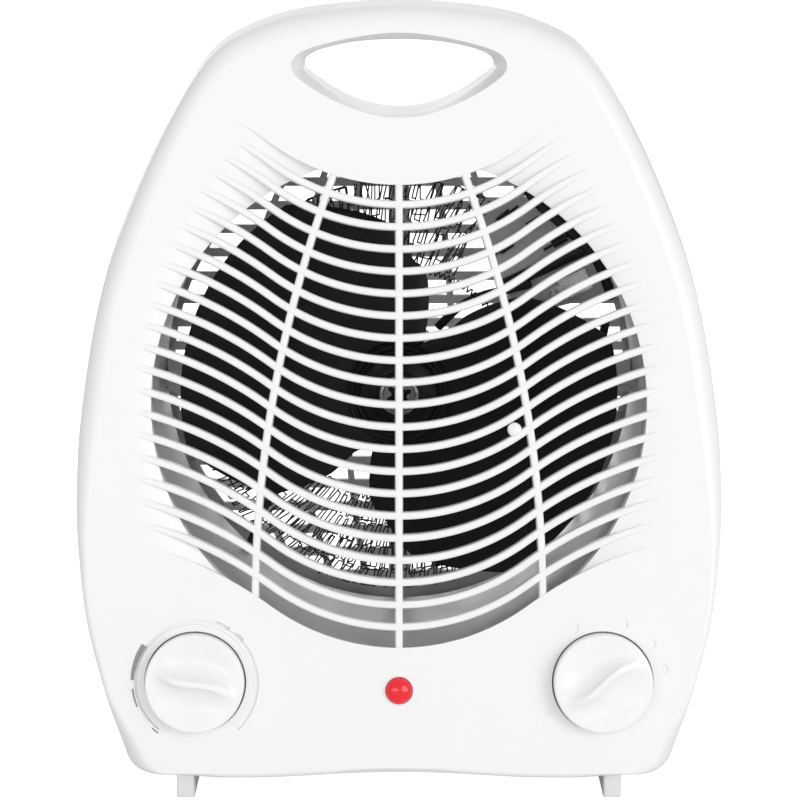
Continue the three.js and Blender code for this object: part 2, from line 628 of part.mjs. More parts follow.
function buildDial(name, x, gripAngle) {
  const dial = new THREE.Group();
  dial.position.set(0, -FACE_DEPTH, AXIS_HEIGHT);
  dial.rotation.x = -FACE_TILT;
  root.add(dial);
  const place = (body) => body.translate([x, 0, DIAL_Z - AXIS_HEIGHT]);
  const cap = rod(DIAL_RADIUS, -DIAL_HEIGHT, DIAL_SKIRT, 0, 0, 36)
    .subtract(rod(DIAL_RADIUS - 2, 2 - DIAL_HEIGHT, DIAL_SKIRT + 1, 0, 0, 36));
  const grip = prism(gripShape(), -DIAL_HEIGHT - GRIP_HEIGHT, 1 - DIAL_HEIGHT).rotate([0, -gripAngle, 0]);
  const socket = rod(5, 1 - DIAL_HEIGHT, DIAL_SKIRT, 0, 0, 16);
  const bore = rod(SPINDLE_RADIUS + CLEARANCE, 3 - DIAL_HEIGHT, DIAL_SKIRT + 1, 0, 0, 16);
  addSolid(`${name}_knob`, place(unite([cap, grip, socket]).subtract(bore)), 'dial', dial);
  addSolid(`${name}_spindle`, place(rod(SPINDLE_RADIUS, 3.4 - DIAL_HEIGHT, 10, 0, 0, 16)), 'brass', dial);
  const front = WELL_DEPTH + WELL_WALL + CLEARANCE;
  const pocket = rod(SPINDLE_RADIUS + CLEARANCE, 0, 10.5, 0, 0, 16);
  const body = block(-12, 12, front, front + 12, -10.5, 10.5).subtract(pocket);
  const terminals = [-8, 0, 8].map((tx) => block(tx - 2.4, tx + 2.4, front + 11, front + 19, -0.4, 0.4));
  addSolid(`${name}_control`, place(unite([body, ...terminals])), 'black', dial);
}

function buildLamp() {
  const profile = new THREE.Path();
  profile.moveTo(0, -2.6);
  profile.quadraticCurveTo(3.4, -2.6, LAMP_RADIUS - CLEARANCE, 0);
  profile.lineTo(LAMP_RADIUS - CLEARANCE, 4);
  profile.lineTo(0, 4);
  const lens = new THREE.LatheGeometry(profile.getPoints(5), 24);
  const place = FACE_MATRIX.clone().multiply(move(0, 0, LAMP_Z));
  const solidLens = solid(lens, place);
  addSolid('lamp_lens', solidLens, 'lens');
  addSolid('lamp_body', onFace(rod(4, 4.3, 18, 0, LAMP_Z, 20)), 'black');
}

// Bush that lines the lead's way in at the back.
function buildInletBush() {
  const back = rearDepth(INLET.z);
  const bush = rod(INLET.radius - CLEARANCE, back - 6, back + 1, INLET.x, INLET.z, 24)
    .add(rod(INLET.radius + 1.6, back + 0.8, back + 2.4, INLET.x, INLET.z, 24))
    .subtract(rod(3.6, 20, 80, INLET.x, INLET.z, 16));
  addSolid('cord_inlet_bush', bush, 'black');
}

buildFrontCasing();
buildRearCasing();
buildCasingScrews();
buildFeet();
buildDuct();
buildMicaBoards();
buildHeatingWires();
buildFan();
buildMotor();
buildMotorBracket();
buildSafetyPlate();
buildDial('thermostat', -DIAL_X, THERMOSTAT_GRIP_ANGLE);
buildDial('mode', DIAL_X, MODE_GRIP_ANGLE);
buildLamp();
buildInletBush();

export default root;
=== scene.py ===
# Fan convector heater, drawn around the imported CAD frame: white plastic shells with a carry
# handle and a curved outlet grille, two dials, a lamp, and the fan, motor and heating element.
import math

import bpy
import numpy as np
from mathutils import Matrix, Vector


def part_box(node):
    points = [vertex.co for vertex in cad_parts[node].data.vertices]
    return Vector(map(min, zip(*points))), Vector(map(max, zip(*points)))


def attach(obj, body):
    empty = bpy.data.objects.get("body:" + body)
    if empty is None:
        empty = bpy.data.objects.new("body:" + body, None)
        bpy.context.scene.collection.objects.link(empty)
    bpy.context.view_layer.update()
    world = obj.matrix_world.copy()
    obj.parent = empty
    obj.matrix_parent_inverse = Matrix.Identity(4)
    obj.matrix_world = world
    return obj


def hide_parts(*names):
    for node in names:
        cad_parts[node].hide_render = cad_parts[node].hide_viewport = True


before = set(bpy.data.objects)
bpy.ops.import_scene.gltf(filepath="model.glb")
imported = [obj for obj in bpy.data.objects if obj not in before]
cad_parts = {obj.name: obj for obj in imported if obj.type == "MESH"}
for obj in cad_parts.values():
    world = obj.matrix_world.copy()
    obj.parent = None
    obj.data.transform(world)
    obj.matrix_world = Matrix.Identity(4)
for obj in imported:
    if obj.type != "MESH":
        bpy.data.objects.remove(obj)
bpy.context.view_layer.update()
scene = bpy.context.scene

# Shapes are drawn in millimetres, X to the right, Z up, with Y = 0 on the parting plane of the
# two shells. finish_piece turns them into metres in the row frame.
MM = 0.001
PARTING_Y = (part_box("front_casing")[1].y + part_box("rear_casing")[0].y) / 2
TO_FRAME = Matrix.Translation((0, PARTING_Y, 0)) @ Matrix.Scale(MM, 4)

# Casing
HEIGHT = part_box("front_casing")[1].z / MM
CASE_FLOOR = 8
WALL = 2.2
SKIN_COVER = 0.2
SEAM_GAP = 0.15
SEAM_CHAMFER = 0.4
FACE_DEPTH = 39
FACE_SLOPE = 0.124
FACE_TILT = math.atan(FACE_SLOPE)
FRONT_EDGE_RADIUS = 7
FRONT_EDGE_TIGHT = 2.4
CORNER_CUT = 7
CORNER_REACH = 18
REAR_DEPTH = 49
REAR_SLOPE = 0.06
REAR_EDGE_RADIUS = 10
NECK_START = 210
NECK_END = 246
NECK_DEPTH = 22
DRAFT = 1.5
AXIS_HEIGHT = 130
OUTLINE_CENTRE = np.array([0, 120.0])
FLOOR_ARCH = 1.6
FLOOR_ARCH_HALF = 48

# Outlet grille, drawn on the leaning face
OPENING_RADIUS = 80.3
SLAT_COUNT = 20
SLAT_PITCH = 7.2
SLAT_TOP = 194.5
SLAT_HEIGHT = 2.7
SLAT_DEPTH = 4.5
SLAT_SINK = 0.35
SLAT_REACH = 96
SLAT_SAG_RADIUS = 70.5
SLAT_TURN = 41.5
SLAT_RISE_RADIUS = 127
RIB_WIDTH = 2.7
SKIN_TOP = 200.8
SKIN_BOTTOM = 51
DISH_BACKING = 5.8
DISH_LIMIT = 111

# Intake grille
INTAKE_RADIUS = 78
INTAKE_BAR = 3
INTAKE_PITCH = 8.2
INTAKE_RIB_SPACING = 18.5
INTAKE_RIB_WIDTH = 2.3
INTAKE_POST_WIDTH = 7.3

# Inside
DUCT_RADIUS = 80
DUCT_WALL = 1
DUCT_BACK = 39
FAN_RADIUS = 72
FAN_PLANE = -13
HUB_RADIUS = 17
BOARD_FRONT = 4
BOARD_BACK = 22
WIRE_RADIUS = 0.28

# Controls
DIAL_X = 66
DIAL_Z = 39.9
DIAL_RADIUS = 16
DIAL_HEIGHT = 6
DIAL_SKIRT = 3
DIAL_GAP = 0.5
WELL_DEPTH = 4
WELL_WALL = 1.8
GRIP_HEIGHT = 4
GRIP_SWING = 1.5
LAMP_Z = 37.2
LAMP_RADIUS = 4.4
SPINDLE_RADIUS = 3
CLEARANCE = 0.3

# Feet, screws and cord inlet
FOOT_X = 69.9
FOOT_WIDTH = 5.8
SCREW_POSTS = [(-81, 26), (81, 26), (-63, 221), (63, 221)]
SCREW_HEAD_RADIUS = 3.2
INLET_X = -52
INLET_Z = 32
INLET_RADIUS = 6

FACE_MATRIX = (
    Matrix.Translation((0, -FACE_DEPTH, AXIS_HEIGHT))
    @ Matrix.Rotation(-FACE_TILT, 4, "X")
    @ Matrix.Translation((0, 0, -AXIS_HEIGHT))
)
BACK_MATRIX = (
    Matrix.Translation((0, REAR_DEPTH, AXIS_HEIGHT))
    @ Matrix.Rotation(math.atan(REAR_SLOPE), 4, "X")
    @ Matrix.Translation((0, 0, -AXIS_HEIGHT))
)


# Camera and light

CAMERA_TARGET = Vector((0, -30, 130))
CAMERA_DISTANCE = 1100
CAMERA_PITCH = math.radians(8.5)
CAMERA_LENS = 151.93
CAMERA_SHIFT = 0.00125
WORLD_STRENGTH = 0.62
FLOOR_GLOW = 0.95

# Soft lights: name, place and target in metres, width and height, watts
AREA_LIGHTS = (
    ("key", (2.1, -3.0, 0.8), (0, 0, 0.14), (2.6, 2.2), 55),
    ("fill", (-1.2, -3.0, 0.5), (0, 0, 0.12), (2.4, 0.9), 15),
    ("back_high", (-0.4, 2.6, 1.5), (0, 0, 0.12), (2.4, 1.6), 7),
    ("back_low", (-0.4, 3.0, 0.4), (0, 0, 0.12), (2.4, 0.7), 7),
)


def build_camera():
    camera = bpy.data.objects.new("camera", bpy.data.cameras.new("camera"))
    scene.collection.objects.link(camera)
    back = Vector((0, -math.cos(CAMERA_PITCH), math.sin(CAMERA_PITCH)))
    camera.location = TO_FRAME @ (CAMERA_TARGET + CAMERA_DISTANCE * back)
    camera.rotation_euler = (math.pi / 2 - CAMERA_PITCH, 0, 0)
    camera.data.lens = CAMERA_LENS
    camera.data.sensor_width = 36
    camera.data.shift_x = CAMERA_SHIFT
    camera.data.clip_start = 0.05
    camera.data.clip_end = 60
    scene.camera = camera


def add_area_light(name, location, target, size, power):
    light = bpy.data.lights.new(name, "AREA")
    light.shape = "ELLIPSE"
    light.size = size[0]
    light.size_y = size[1]
    light.energy = power
    lamp = bpy.data.objects.new(name, light)
    scene.collection.objects.link(lamp)
    lamp.visible_camera = False
    lamp.location = location
    lamp.rotation_euler = (Vector(target) - Vector(location)).to_track_quat("-Z", "Y").to_euler()


def build_light():
    scene.view_settings.view_transform = "Standard"
    world = bpy.data.worlds.new("studio")
    scene.world = world
    world.use_nodes = True
    background = world.node_tree.nodes["Background"]
    background.inputs["Color"].default_value = (1, 1, 1, 1)
    background.inputs["Strength"].default_value = WORLD_STRENGTH
    for light in AREA_LIGHTS:
        add_area_light(*light)


# Geometry helpers

def numbers(*rows):
    return np.array(rows, dtype=float)


def rounded(x):
    """Smooth step from 0 to 1."""
    x = np.clip(x, 0, 1)
    return x * x * (3 - 2 * x)


def mesh_from(name, vertices, faces, matrix=None):
    mesh = bpy.data.meshes.new(name)
    mesh.from_pydata(np.asarray(vertices, dtype=float).tolist(), [], faces)
    if matrix is not None:
        mesh.transform(matrix)
    mesh.update()
    return mesh


def add_object(name, mesh):
    piece = bpy.data.objects.new(name, mesh)
    scene.collection.objects.link(piece)
    return piece


def ring_faces(count, levels, closed=False):
    """Quads between successive rings of `count` points."""
    faces = []
    last = levels if closed else levels - 1
    for level in range(last):
        low = level * count
        high = ((level + 1) % levels) * count
        for i in range(count):
            j = (i + 1) % count
            faces.append((low + i, low + j, high + j, high + i))
    return faces


def loft(name, rings, matrix=None):
    """Closed body through rings of points, with a flat cap on the first and the last ring."""
    count = len(rings[0])
    faces = ring_faces(count, len(rings))
    faces.append(tuple(reversed(range(count))))
    top = (len(rings) - 1) * count
    faces.append(tuple(range(top, top + count)))
    return outward(mesh_from(name, np.concatenate(rings), faces, matrix))


def outward(mesh):
    """Turns all faces over if they point into the body."""
    corners = np.array([v.co for v in mesh.vertices])
    mesh.calc_loop_triangles()
    a, b, c = (corners[[t.vertices[k] for t in mesh.loop_triangles]] for k in range(3))
    if np.einsum("ij,ij->i", a, np.cross(b, c)).sum() < 0:
        mesh.flip_normals()
    return mesh


def lathe(name, profile, steps=96, matrix=None):
    """Turns a closed (radius, y) profile round the Y axis."""
    profile = np.asarray(profile, dtype=float)
    angles = np.arange(steps) * 2 * math.pi / steps
    rings = [
        np.stack([profile[:, 0] * math.cos(a), profile[:, 1], profile[:, 0] * math.sin(a)], axis=1)
        for a in angles
    ]
    faces = ring_faces(len(profile), steps, closed=True)
    return outward(mesh_from(name, np.concatenate(rings), faces, matrix))


def disc_body(name, radius, y0, y1, x=0, z=0, steps=64, matrix=None):
    """Cylinder along Y."""
    angles = np.arange(steps) * 2 * math.pi / steps
    rings = [
        np.stack([x + radius * np.cos(angles), np.full(steps, y), z + radius * np.sin(angles)], axis=1)
        for y in (y0, y1)
    ]
    return loft(name, rings, matrix)


def prism(name, outline, y0, y1, matrix=None):
    """Body with an outline in x and z, from y0 to y1."""
    outline = np.asarray(outline, dtype=float)
    rings = [np.stack([outline[:, 0], np.full(len(outline), y), outline[:, 1]], axis=1) for y in (y0, y1)]
    return loft(name, rings, matrix)


def sweep(name, path, profile, matrix=None):
    """Bar along a path in x and z. Its profile is drawn as (across the path, depth)."""
    path = np.asarray(path, dtype=float)
    profile = np.asarray(profile, dtype=float)
    along = np.gradient(path, axis=0)
    along /= np.linalg.norm(along, axis=1)[:, None]
    across = np.stack([-along[:, 1], along[:, 0]], axis=1)
    rings = []
    for point, normal in zip(path, across):
        ring = np.empty((len(profile), 3))
        ring[:, 0] = point[0] + profile[:, 0] * normal[0]
        ring[:, 1] = profile[:, 1]
        ring[:, 2] = point[1] + profile[:, 0] * normal[1]
        rings.append(ring)
    return loft(name, rings, matrix)


def rounded_profile(front_width, back_width, depth, radius, steps=4):
    """Cross-section of a moulded bar: round front corners at depth 0, square at the back."""
    half = front_width / 2
    points = []
    for side, start in ((1, 0), (-1, 90)):
        for k in range(steps + 1):
            turn = math.radians(start + 90 * k / steps)
            across = side * (half - radius) + radius * math.cos(turn)
            points.append((across, radius - radius * math.sin(turn)))
    points.append((-back_width / 2, depth))
    points.append((back_width / 2, depth))
    return np.array(points)


def combine(name, base, steps):
    """Joins, cuts or intersects the base mesh with each tool mesh in turn."""
    target = add_object(name, base)
    tools = []
    for operation, mesh in steps:
        tool = add_object("tool", mesh)
        tools.append(tool)
        cut = target.modifiers.new("cut", "BOOLEAN")
        cut.solver = "MANIFOLD"
        cut.operation = operation
        cut.object = tool
    depsgraph = bpy.context.evaluated_depsgraph_get()
    result = bpy.data.meshes.new_from_object(target.evaluated_get(depsgraph))
    result.name = name
    for item in tools + [target]:
        spent = item.data
        bpy.data.objects.remove(item)
        bpy.data.meshes.remove(spent)
    return result


def finish_piece(name, mesh, body, material, nodes=(), sharp=35, weighted=False):
    """Adds a mesh drawn in millimetres as a finished piece of the heater."""
    mesh.transform(TO_FRAME)
    mesh.name = name
    mesh.materials.clear()
    mesh.materials.append(material)
    mesh.shade_smooth()
    mesh.set_sharp_from_angle(angle=math.radians(sharp))
    piece = add_object(name, mesh)
    if weighted:
        weigh = piece.modifiers.new("weigh", "WEIGHTED_NORMAL")
        weigh.keep_sharp = True
    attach(piece, body)
    if nodes:
        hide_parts(*nodes)


# Materials

class Finish:
    """A Principled material with helpers for procedural variation."""

    def __init__(self, name, colour, roughness, metallic=0, **sockets):
        self.material = bpy.data.materials.new(name)
        self.material.use_nodes = True
        self.nodes = self.material.node_tree.nodes
        self.links = self.material.node_tree.links
        self.shader = self.nodes["Principled BSDF"]
        self.shader.inputs["Base Color"].default_value = (*colour, 1)
        self.shader.inputs["Roughness"].default_value = roughness
        self.shader.inputs["Metallic"].default_value = metallic
        for socket, value in sockets.items():
            self.shader.inputs[socket.replace("_", " ")].default_value = value
        self.place = self.nodes.new("ShaderNodeTexCoord").outputs["Object"]

    def noise(self, scale, detail=3, roughness=0.5, stretch=None):
        texture = self.nodes.new("ShaderNodeTexNoise")
        texture.inputs["Scale"].default_value = scale
        texture.inputs["Detail"].default_value = detail
        texture.inputs["Roughness"].default_value = roughness
        place = self.place
        if stretch:
            mapping = self.nodes.new("ShaderNodeMapping")
            mapping.inputs["Scale"].default_value = stretch
            self.links.new(place, mapping.inputs["Vector"])
            place = mapping.outputs["Vector"]
        self.links.new(place, texture.inputs["Vector"])
        return texture.outputs["Fac"]

    def speckle(self, scale):
        texture = self.nodes.new("ShaderNodeTexVoronoi")
        texture.inputs["Scale"].default_value = scale
        self.links.new(self.place, texture.inputs["Vector"])
        return texture.outputs["Distance"]

    def spread(self, factor, low, high):
        """Maps a 0 to 1 factor onto low to high."""
        ramp = self.nodes.new("ShaderNodeMapRange")
        ramp.inputs["From Min"].default_value = 0.3
        ramp.inputs["From Max"].default_value = 0.7
        ramp.inputs["To Min"].default_value = low
        ramp.inputs["To Max"].default_value = high
        self.links.new(factor, ramp.inputs["Value"])
        return ramp.outputs["Result"]

    def vary_colour(self, factor, dark, light):
        ramp = self.nodes.new("ShaderNodeValToRGB")
        ramp.color_ramp.elements[0].position = 0.3
        ramp.color_ramp.elements[0].color = (*dark, 1)
        ramp.color_ramp.elements[1].position = 0.7
        ramp.color_ramp.elements[1].color = (*light, 1)
        self.links.new(factor, ramp.inputs["Fac"])
        self.links.new(ramp.outputs["Color"], self.shader.inputs["Base Color"])

    def vary_roughness(self, factor, low, high):
        self.links.new(self.spread(factor, low, high), self.shader.inputs["Roughness"])

    def bump(self, factor, depth_mm, strength=1.0):
        node = self.nodes.new("ShaderNodeBump")
        node.inputs["Strength"].default_value = strength
        node.inputs["Distance"].default_value = depth_mm * MM
        self.links.new(factor, node.inputs["Height"])
        self.links.new(node.outputs["Normal"], self.shader.inputs["Normal"])


def white_plastic(name, tone, roughness):
    finish = Finish(name, (tone, tone, tone), roughness)
    finish.vary_colour(finish.noise(9, 4), (tone - 0.006,) * 3, (tone + 0.006,) * 3)
    finish.vary_roughness(finish.noise(45, 4), roughness - 0.04, roughness + 0.05)
    finish.bump(finish.noise(2600, 2), 0.004, 0.5)
    return finish.material


def red_lens():
    finish = Finish(
        "red_lens", (0.74, 0.012, 0.022), 0.2,
        Specular_IOR_Level=0.3, Coat_Weight=0.5, Coat_Roughness=0.12,
    )
    finish.shader.inputs["Emission Color"].default_value = (0.9, 0.01, 0.015, 1)
    finish.shader.inputs["Emission Strength"].default_value = 0.12
    finish.vary_colour(finish.noise(260, 3), (0.70, 0.010, 0.019), (0.78, 0.014, 0.026))
    finish.vary_roughness(finish.noise(900, 2), 0.17, 0.25)
    return finish.material


def zinc_steel():
    finish = Finish("zinc_steel", (0.93, 0.935, 0.94), 0.48, metallic=0.6)
    grain = finish.noise(60, 6, 0.65, stretch=(1, 14, 1))
    finish.vary_colour(grain, (0.90, 0.905, 0.91), (0.95, 0.955, 0.96))
    finish.vary_roughness(finish.noise(120, 4), 0.42, 0.54)
    finish.bump(grain, 0.02, 0.25)
    return finish.material


def bright_steel():
    finish = Finish("bright_steel", (0.62, 0.62, 0.63), 0.28, metallic=1)
    finish.vary_colour(finish.noise(300, 5), (0.55, 0.55, 0.56), (0.68, 0.68, 0.69))
    finish.vary_roughness(finish.noise(700, 4), 0.2, 0.38)
    return finish.material


def spring_steel():
    finish = Finish("spring_steel", (0.20, 0.20, 0.205), 0.4, metallic=1)
    finish.vary_colour(finish.noise(420, 5), (0.13, 0.13, 0.135), (0.30, 0.30, 0.31))
    finish.vary_roughness(finish.noise(700, 4), 0.3, 0.5)
    return finish.material


def oxidised_wire():
    finish = Finish("oxidised_wire", (0.045, 0.042, 0.04), 0.5, metallic=0.5)
    finish.vary_colour(finish.noise(900, 4), (0.022, 0.02, 0.019), (0.075, 0.07, 0.066))
    finish.vary_roughness(finish.noise(500, 3), 0.4, 0.65)
    return finish.material


def mica_sheet():
    finish = Finish("mica_sheet", (0.62, 0.61, 0.59), 0.45)
    flakes = finish.speckle(900)
    finish.vary_colour(finish.noise(160, 6, 0.7), (0.54, 0.53, 0.515), (0.68, 0.67, 0.65))
    finish.vary_roughness(flakes, 0.3, 0.6)
    finish.bump(flakes, 0.05, 0.4)
    return finish.material


def black_plastic(name, tone, roughness, gloss=0.4):
    finish = Finish(name, (tone, tone, tone), roughness, Specular_IOR_Level=gloss)
    finish.vary_colour(finish.noise(60, 5), (tone * 0.7,) * 3, (tone * 1.4,) * 3)
    finish.vary_roughness(finish.noise(220, 4, stretch=(1, 1, 0.3)), roughness - 0.07, roughness + 0.1)
    finish.bump(finish.noise(1800, 2), 0.006, 0.4)
    return finish.material


def copper_winding():
    finish = Finish("copper_winding", (0.55, 0.22, 0.09), 0.35, metallic=0.9)
    strands = finish.noise(900, 2, stretch=(1, 0.1, 1))
    finish.vary_colour(strands, (0.36, 0.13, 0.05), (0.62, 0.27, 0.11))
    finish.bump(strands, 0.15, 0.6)
    return finish.material


def brass():
    finish = Finish("plain_brass", (0.62, 0.47, 0.22), 0.32, metallic=1)
    finish.vary_colour(finish.noise(240, 5), (0.50, 0.37, 0.17), (0.66, 0.51, 0.25))
    finish.vary_roughness(finish.noise(600, 3), 0.25, 0.42)
    return finish.material


SHELL = white_plastic("shell_plastic", 0.87, 0.36)
DIAL = white_plastic("dial_plastic", 0.875, 0.28)
# Dark grey for the painted shade in the groove round the thermostat dial.
SCALE_SHADE_GREY = white_plastic("scale_painted_shade", 0.27, 0.45)
LENS = red_lens()
ZINC = zinc_steel()
STEEL = bright_steel()
WIRE = oxidised_wire()
MICA = mica_sheet()
FAN_BLACK = black_plastic("fan_black", 0.007, 0.36, 0.16)
PART_BLACK = black_plastic("part_black", 0.018, 0.5)
FERRITE = black_plastic("ferrite", 0.035, 0.7)
COPPER = copper_winding()
BRASS = brass()
SPRING_STEEL = spring_steel()


# Casing outline

def catmull_rom(points, steps):
    """Smooth curve through the points, with `steps` points to each span."""
    points = np.asarray(points, dtype=float)
    padded = np.concatenate([2 * points[:1] - points[1:2], points, 2 * points[-1:] - points[-2:-1]])
    t = (np.arange(steps) / steps)[:, None]
    curve = []
    for a, b, c, d in zip(padded[:-3], padded[1:-2], padded[2:-1], padded[3:]):
        bend = (2 * a - 5 * b + 4 * c - d) * t**2
        twist = (3 * b - a - 3 * c + d) * t**3
        curve.append(0.5 * (2 * b + (c - a) * t + bend + twist))
    return np.concatenate(curve + [points[-1:]])


def mirrored(half):
    """A half outline from the top to the bottom middle, and its mirror image, as one closed outline."""
    half = np.asarray(half, dtype=float)
    return np.concatenate([half, half[-2:0:-1] * (-1, 1)])


def casing_outline():
    side = numbers(
        [0, HEIGHT], [31, 256.3], [49, 250.8], [61, 243], [73, 225.7], [86, 199.3],
        [98, 166], [104.8, 126.5], [106.2, 98], [104.9, 76], [101.8, 55], [94.8, 29.5], [90.8, 14],
    )
    smooth = catmull_rom(np.concatenate([side[2:0:-1] * (-1, 1), side]), 14)
    half = smooth[2 * 14:]
    start, control, end = numbers([90.8, 14], [89.4, CASE_FLOOR], [82, CASE_FLOOR])
    t = np.linspace(0, 1, 10)[1:, None]
    corner = (1 - t) ** 2 * start + 2 * t * (1 - t) * control + t**2 * end
    floor_x = np.linspace(end[0], 0, 46)[1:]
    arch = FLOOR_ARCH * (1 - np.clip(floor_x / FLOOR_ARCH_HALF, 0, 1) ** 2) ** 2
    floor = np.stack([floor_x, CASE_FLOOR + arch], axis=1)
    return mirrored(np.concatenate([half, corner, floor]))


OUTLINE = casing_outline()


def inset_outline(distance):
    """Every outline point moved towards the centre of the casing, by one distance or one for each."""
    to_centre = OUTLINE_CENTRE - OUTLINE
    to_centre /= np.linalg.norm(to_centre, axis=1)[:, None]
    return OUTLINE + to_centre * np.broadcast_to(distance, len(OUTLINE))[:, None]


def front_depth(z):
    return FACE_DEPTH - FACE_SLOPE * (z - AXIS_HEIGHT)


def rear_depth(z):
    flat = REAR_DEPTH - REAR_SLOPE * (z - AXIS_HEIGHT)
    t = rounded((z - NECK_START) / (NECK_END - NECK_START))
    return flat * (1 - t) + NECK_DEPTH * t


class Rim:
    """How a shell rounds over at its rim: radius, sideways cut and how far back the cut reaches."""

    def __init__(self, radius, cut=0.0, reach=0.0):
        self.radius = np.broadcast_to(radius, len(OUTLINE))
        self.cut = np.broadcast_to(cut, len(OUTLINE))
        self.reach = np.broadcast_to(reach, len(OUTLINE))


def front_rim():
    """Soft over the handle, tight beside the dials, with a curved facet at the bottom corners."""
    blend = rounded((OUTLINE[:, 1] - 60) / 70)
    radius = FRONT_EDGE_TIGHT + (FRONT_EDGE_RADIUS - FRONT_EDGE_TIGHT) * blend
    corner = rounded((np.abs(OUTLINE[:, 0]) - 56) / 34) * (1 - rounded((OUTLINE[:, 1] - CASE_FLOOR) / 28))
    return Rim(radius, CORNER_CUT * corner, CORNER_REACH * corner)


def shell_ring(side, inset, depth, cut=0.0):
    flat = inset_outline(inset)
    flat[:, 0] -= np.sign(OUTLINE[:, 0]) * cut
    reach = depth(flat[:, 1])
    return np.stack([flat[:, 0], side * reach, flat[:, 1]], axis=1)


def shell_body(name, side, depth_at, rim, wall, start, chamfer, shrinks=()):
    """Half of the casing as a full body, drawn in by `wall` all over."""
    radius = rim.radius - wall
    rings = []
    if chamfer:
        rings.append(shell_ring(side, wall + chamfer, lambda z: 0 * z + start))
        rings.append(shell_ring(side, wall, lambda z: 0 * z + start + chamfer))
    else:
        rings.append(shell_ring(side, wall, lambda z: 0 * z + start))
    for angle in np.linspace(0, math.pi / 2, 11):
        turn_in = 1 - math.cos(angle)
        back = (radius + rim.reach) * (1 - math.sin(angle))
        inset = wall + DRAFT + radius * turn_in
        rings.append(shell_ring(side, inset, lambda z: depth_at(z) - wall - back, rim.cut * turn_in))
    edge = inset_outline(DRAFT + rim.radius)
    edge[:, 0] -= np.sign(OUTLINE[:, 0]) * rim.cut
    for shrink in shrinks:
        flat = OUTLINE_CENTRE + (edge - OUTLINE_CENTRE) * shrink
        rings.append(np.stack([flat[:, 0], side * (depth_at(flat[:, 1]) - wall), flat[:, 1]], axis=1))
    return loft(name, rings)


# Carry handle

def handle_outline():
    """Narrowest outline of the finger hole: arched top, deep round bottom."""
    half = numbers(
        [0, 246.2], [14, 245.4], [24.5, 243.2], [29.6, 240.9], [31.2, 238.2], [30.2, 235.6],
        [26, 232.2], [19.5, 227.8], [12.5, 224.4], [6, 222.7], [0, 222.3],
    )
    both = np.concatenate([half[2:0:-1] * (-1, 1), half, half[-2:-4:-1] * (-1, 1)])
    smooth = catmull_rom(both, 8)
    return mirrored(smooth[2 * 8: len(smooth) - 2 * 8])


HANDLE = handle_outline()
HANDLE_CENTRE = np.array([0, 235.0])


def handle_ring(margin, y):
    away = HANDLE - HANDLE_CENTRE
    length = np.linalg.norm(away, axis=1)
    grown = HANDLE_CENTRE + away * (1 + margin / length)[:, None]
    return np.stack([grown[:, 0], np.broadcast_to(y, len(HANDLE)), grown[:, 1]], axis=1)


def handle_flare():
    """How far the mouth of the hole stands out round its narrowest outline."""
    return 0.6 + 3.1 * rounded((HANDLE[:, 1] - 223) / 12) - 0.9 * rounded((HANDLE[:, 1] - 241) / 5)


def handle_cutter(name, side, mouth_depth):
    """Cutter for one half of the hole, which flares towards its mouth."""
    length = 14
    face = mouth_depth(HANDLE[:, 1])
    rings = [handle_ring(0 * face, np.full(len(HANDLE), -side * 1.0))]
    for t in np.linspace(1, 0, 12):
        margin = handle_flare() * (1 - t) ** 1.7
        rings.append(handle_ring(margin, side * (face - length * t)))
    rings.append(handle_ring(handle_flare() * 1.4, side * (face + 4)))
    return loft(name, rings)


def handle_sleeve(name, side):
    mouth = np.full(len(HANDLE), side * 60.0)
    seam = np.full(len(HANDLE), side * SEAM_GAP)
    return loft(name, [handle_ring(WALL + handle_flare(), seam), handle_ring(WALL + handle_flare(), mouth)])


# Outlet grille

def slat_rise(x):
    """Height of a slat above its middle: a sagging arc that turns into an opposite arc."""
    a = np.abs(np.asarray(x, dtype=float))
    angle = math.asin(SLAT_TURN / SLAT_SAG_RADIUS)
    centre_x = SLAT_TURN + SLAT_RISE_RADIUS * math.sin(angle)
    turn_rise = SLAT_SAG_RADIUS * (1 - math.cos(angle))
    centre_rise = turn_rise - SLAT_RISE_RADIUS * math.cos(angle)
    inner = SLAT_SAG_RADIUS - np.sqrt(SLAT_SAG_RADIUS**2 - np.minimum(a, SLAT_TURN) ** 2)
    outer = centre_rise + np.sqrt(SLAT_RISE_RADIUS**2 - (centre_x - a) ** 2)
    return np.where(a <= SLAT_TURN, inner, outer)


def skin_window(low, high, half_width, y0, y1):
    """Band between two slat-shaped curves, as a cutter on the face."""
    x = np.linspace(-half_width, half_width, 161)
    bottom = np.stack([x, low + slat_rise(x)], axis=1)
    top = np.stack([x, high + slat_rise(x)], axis=1)[::-1]
    return prism("window", np.concatenate([bottom, top]), y0, y1)


def face_disc(radius, y0, y1, x=0, z=AXIS_HEIGHT, steps=192):
    return disc_body("disc", radius, y0, y1, x, z, steps)


def front_rib_offset(z):
    return 46.6 - 0.00133 * (z - 66) ** 2


def grille_bars():
    """Slats and ribs, drawn against the plane y = 0 with +y behind the face."""
    bars = []
    x = np.linspace(-SLAT_REACH, SLAT_REACH, 97)
    slat = rounded_profile(SLAT_HEIGHT - 0.35, SLAT_HEIGHT, SLAT_DEPTH, 0.7)
    slat[:, 1] += SLAT_SINK
    for i in range(SLAT_COUNT):
        z = SLAT_TOP - i * SLAT_PITCH
        bars.append(sweep("slat", np.stack([x, z + slat_rise(x)], axis=1), slat))
    rib = rounded_profile(RIB_WIDTH - 0.35, RIB_WIDTH, SLAT_DEPTH - 0.4, 0.7)
    rib[:, 1] += SLAT_SINK + 0.15
    z = np.linspace(44, 216, 60)
    for side in (-1, 0, 1):
        bars.append(sweep("rib", np.stack([side * front_rib_offset(z), z], axis=1), rib))
    return bars


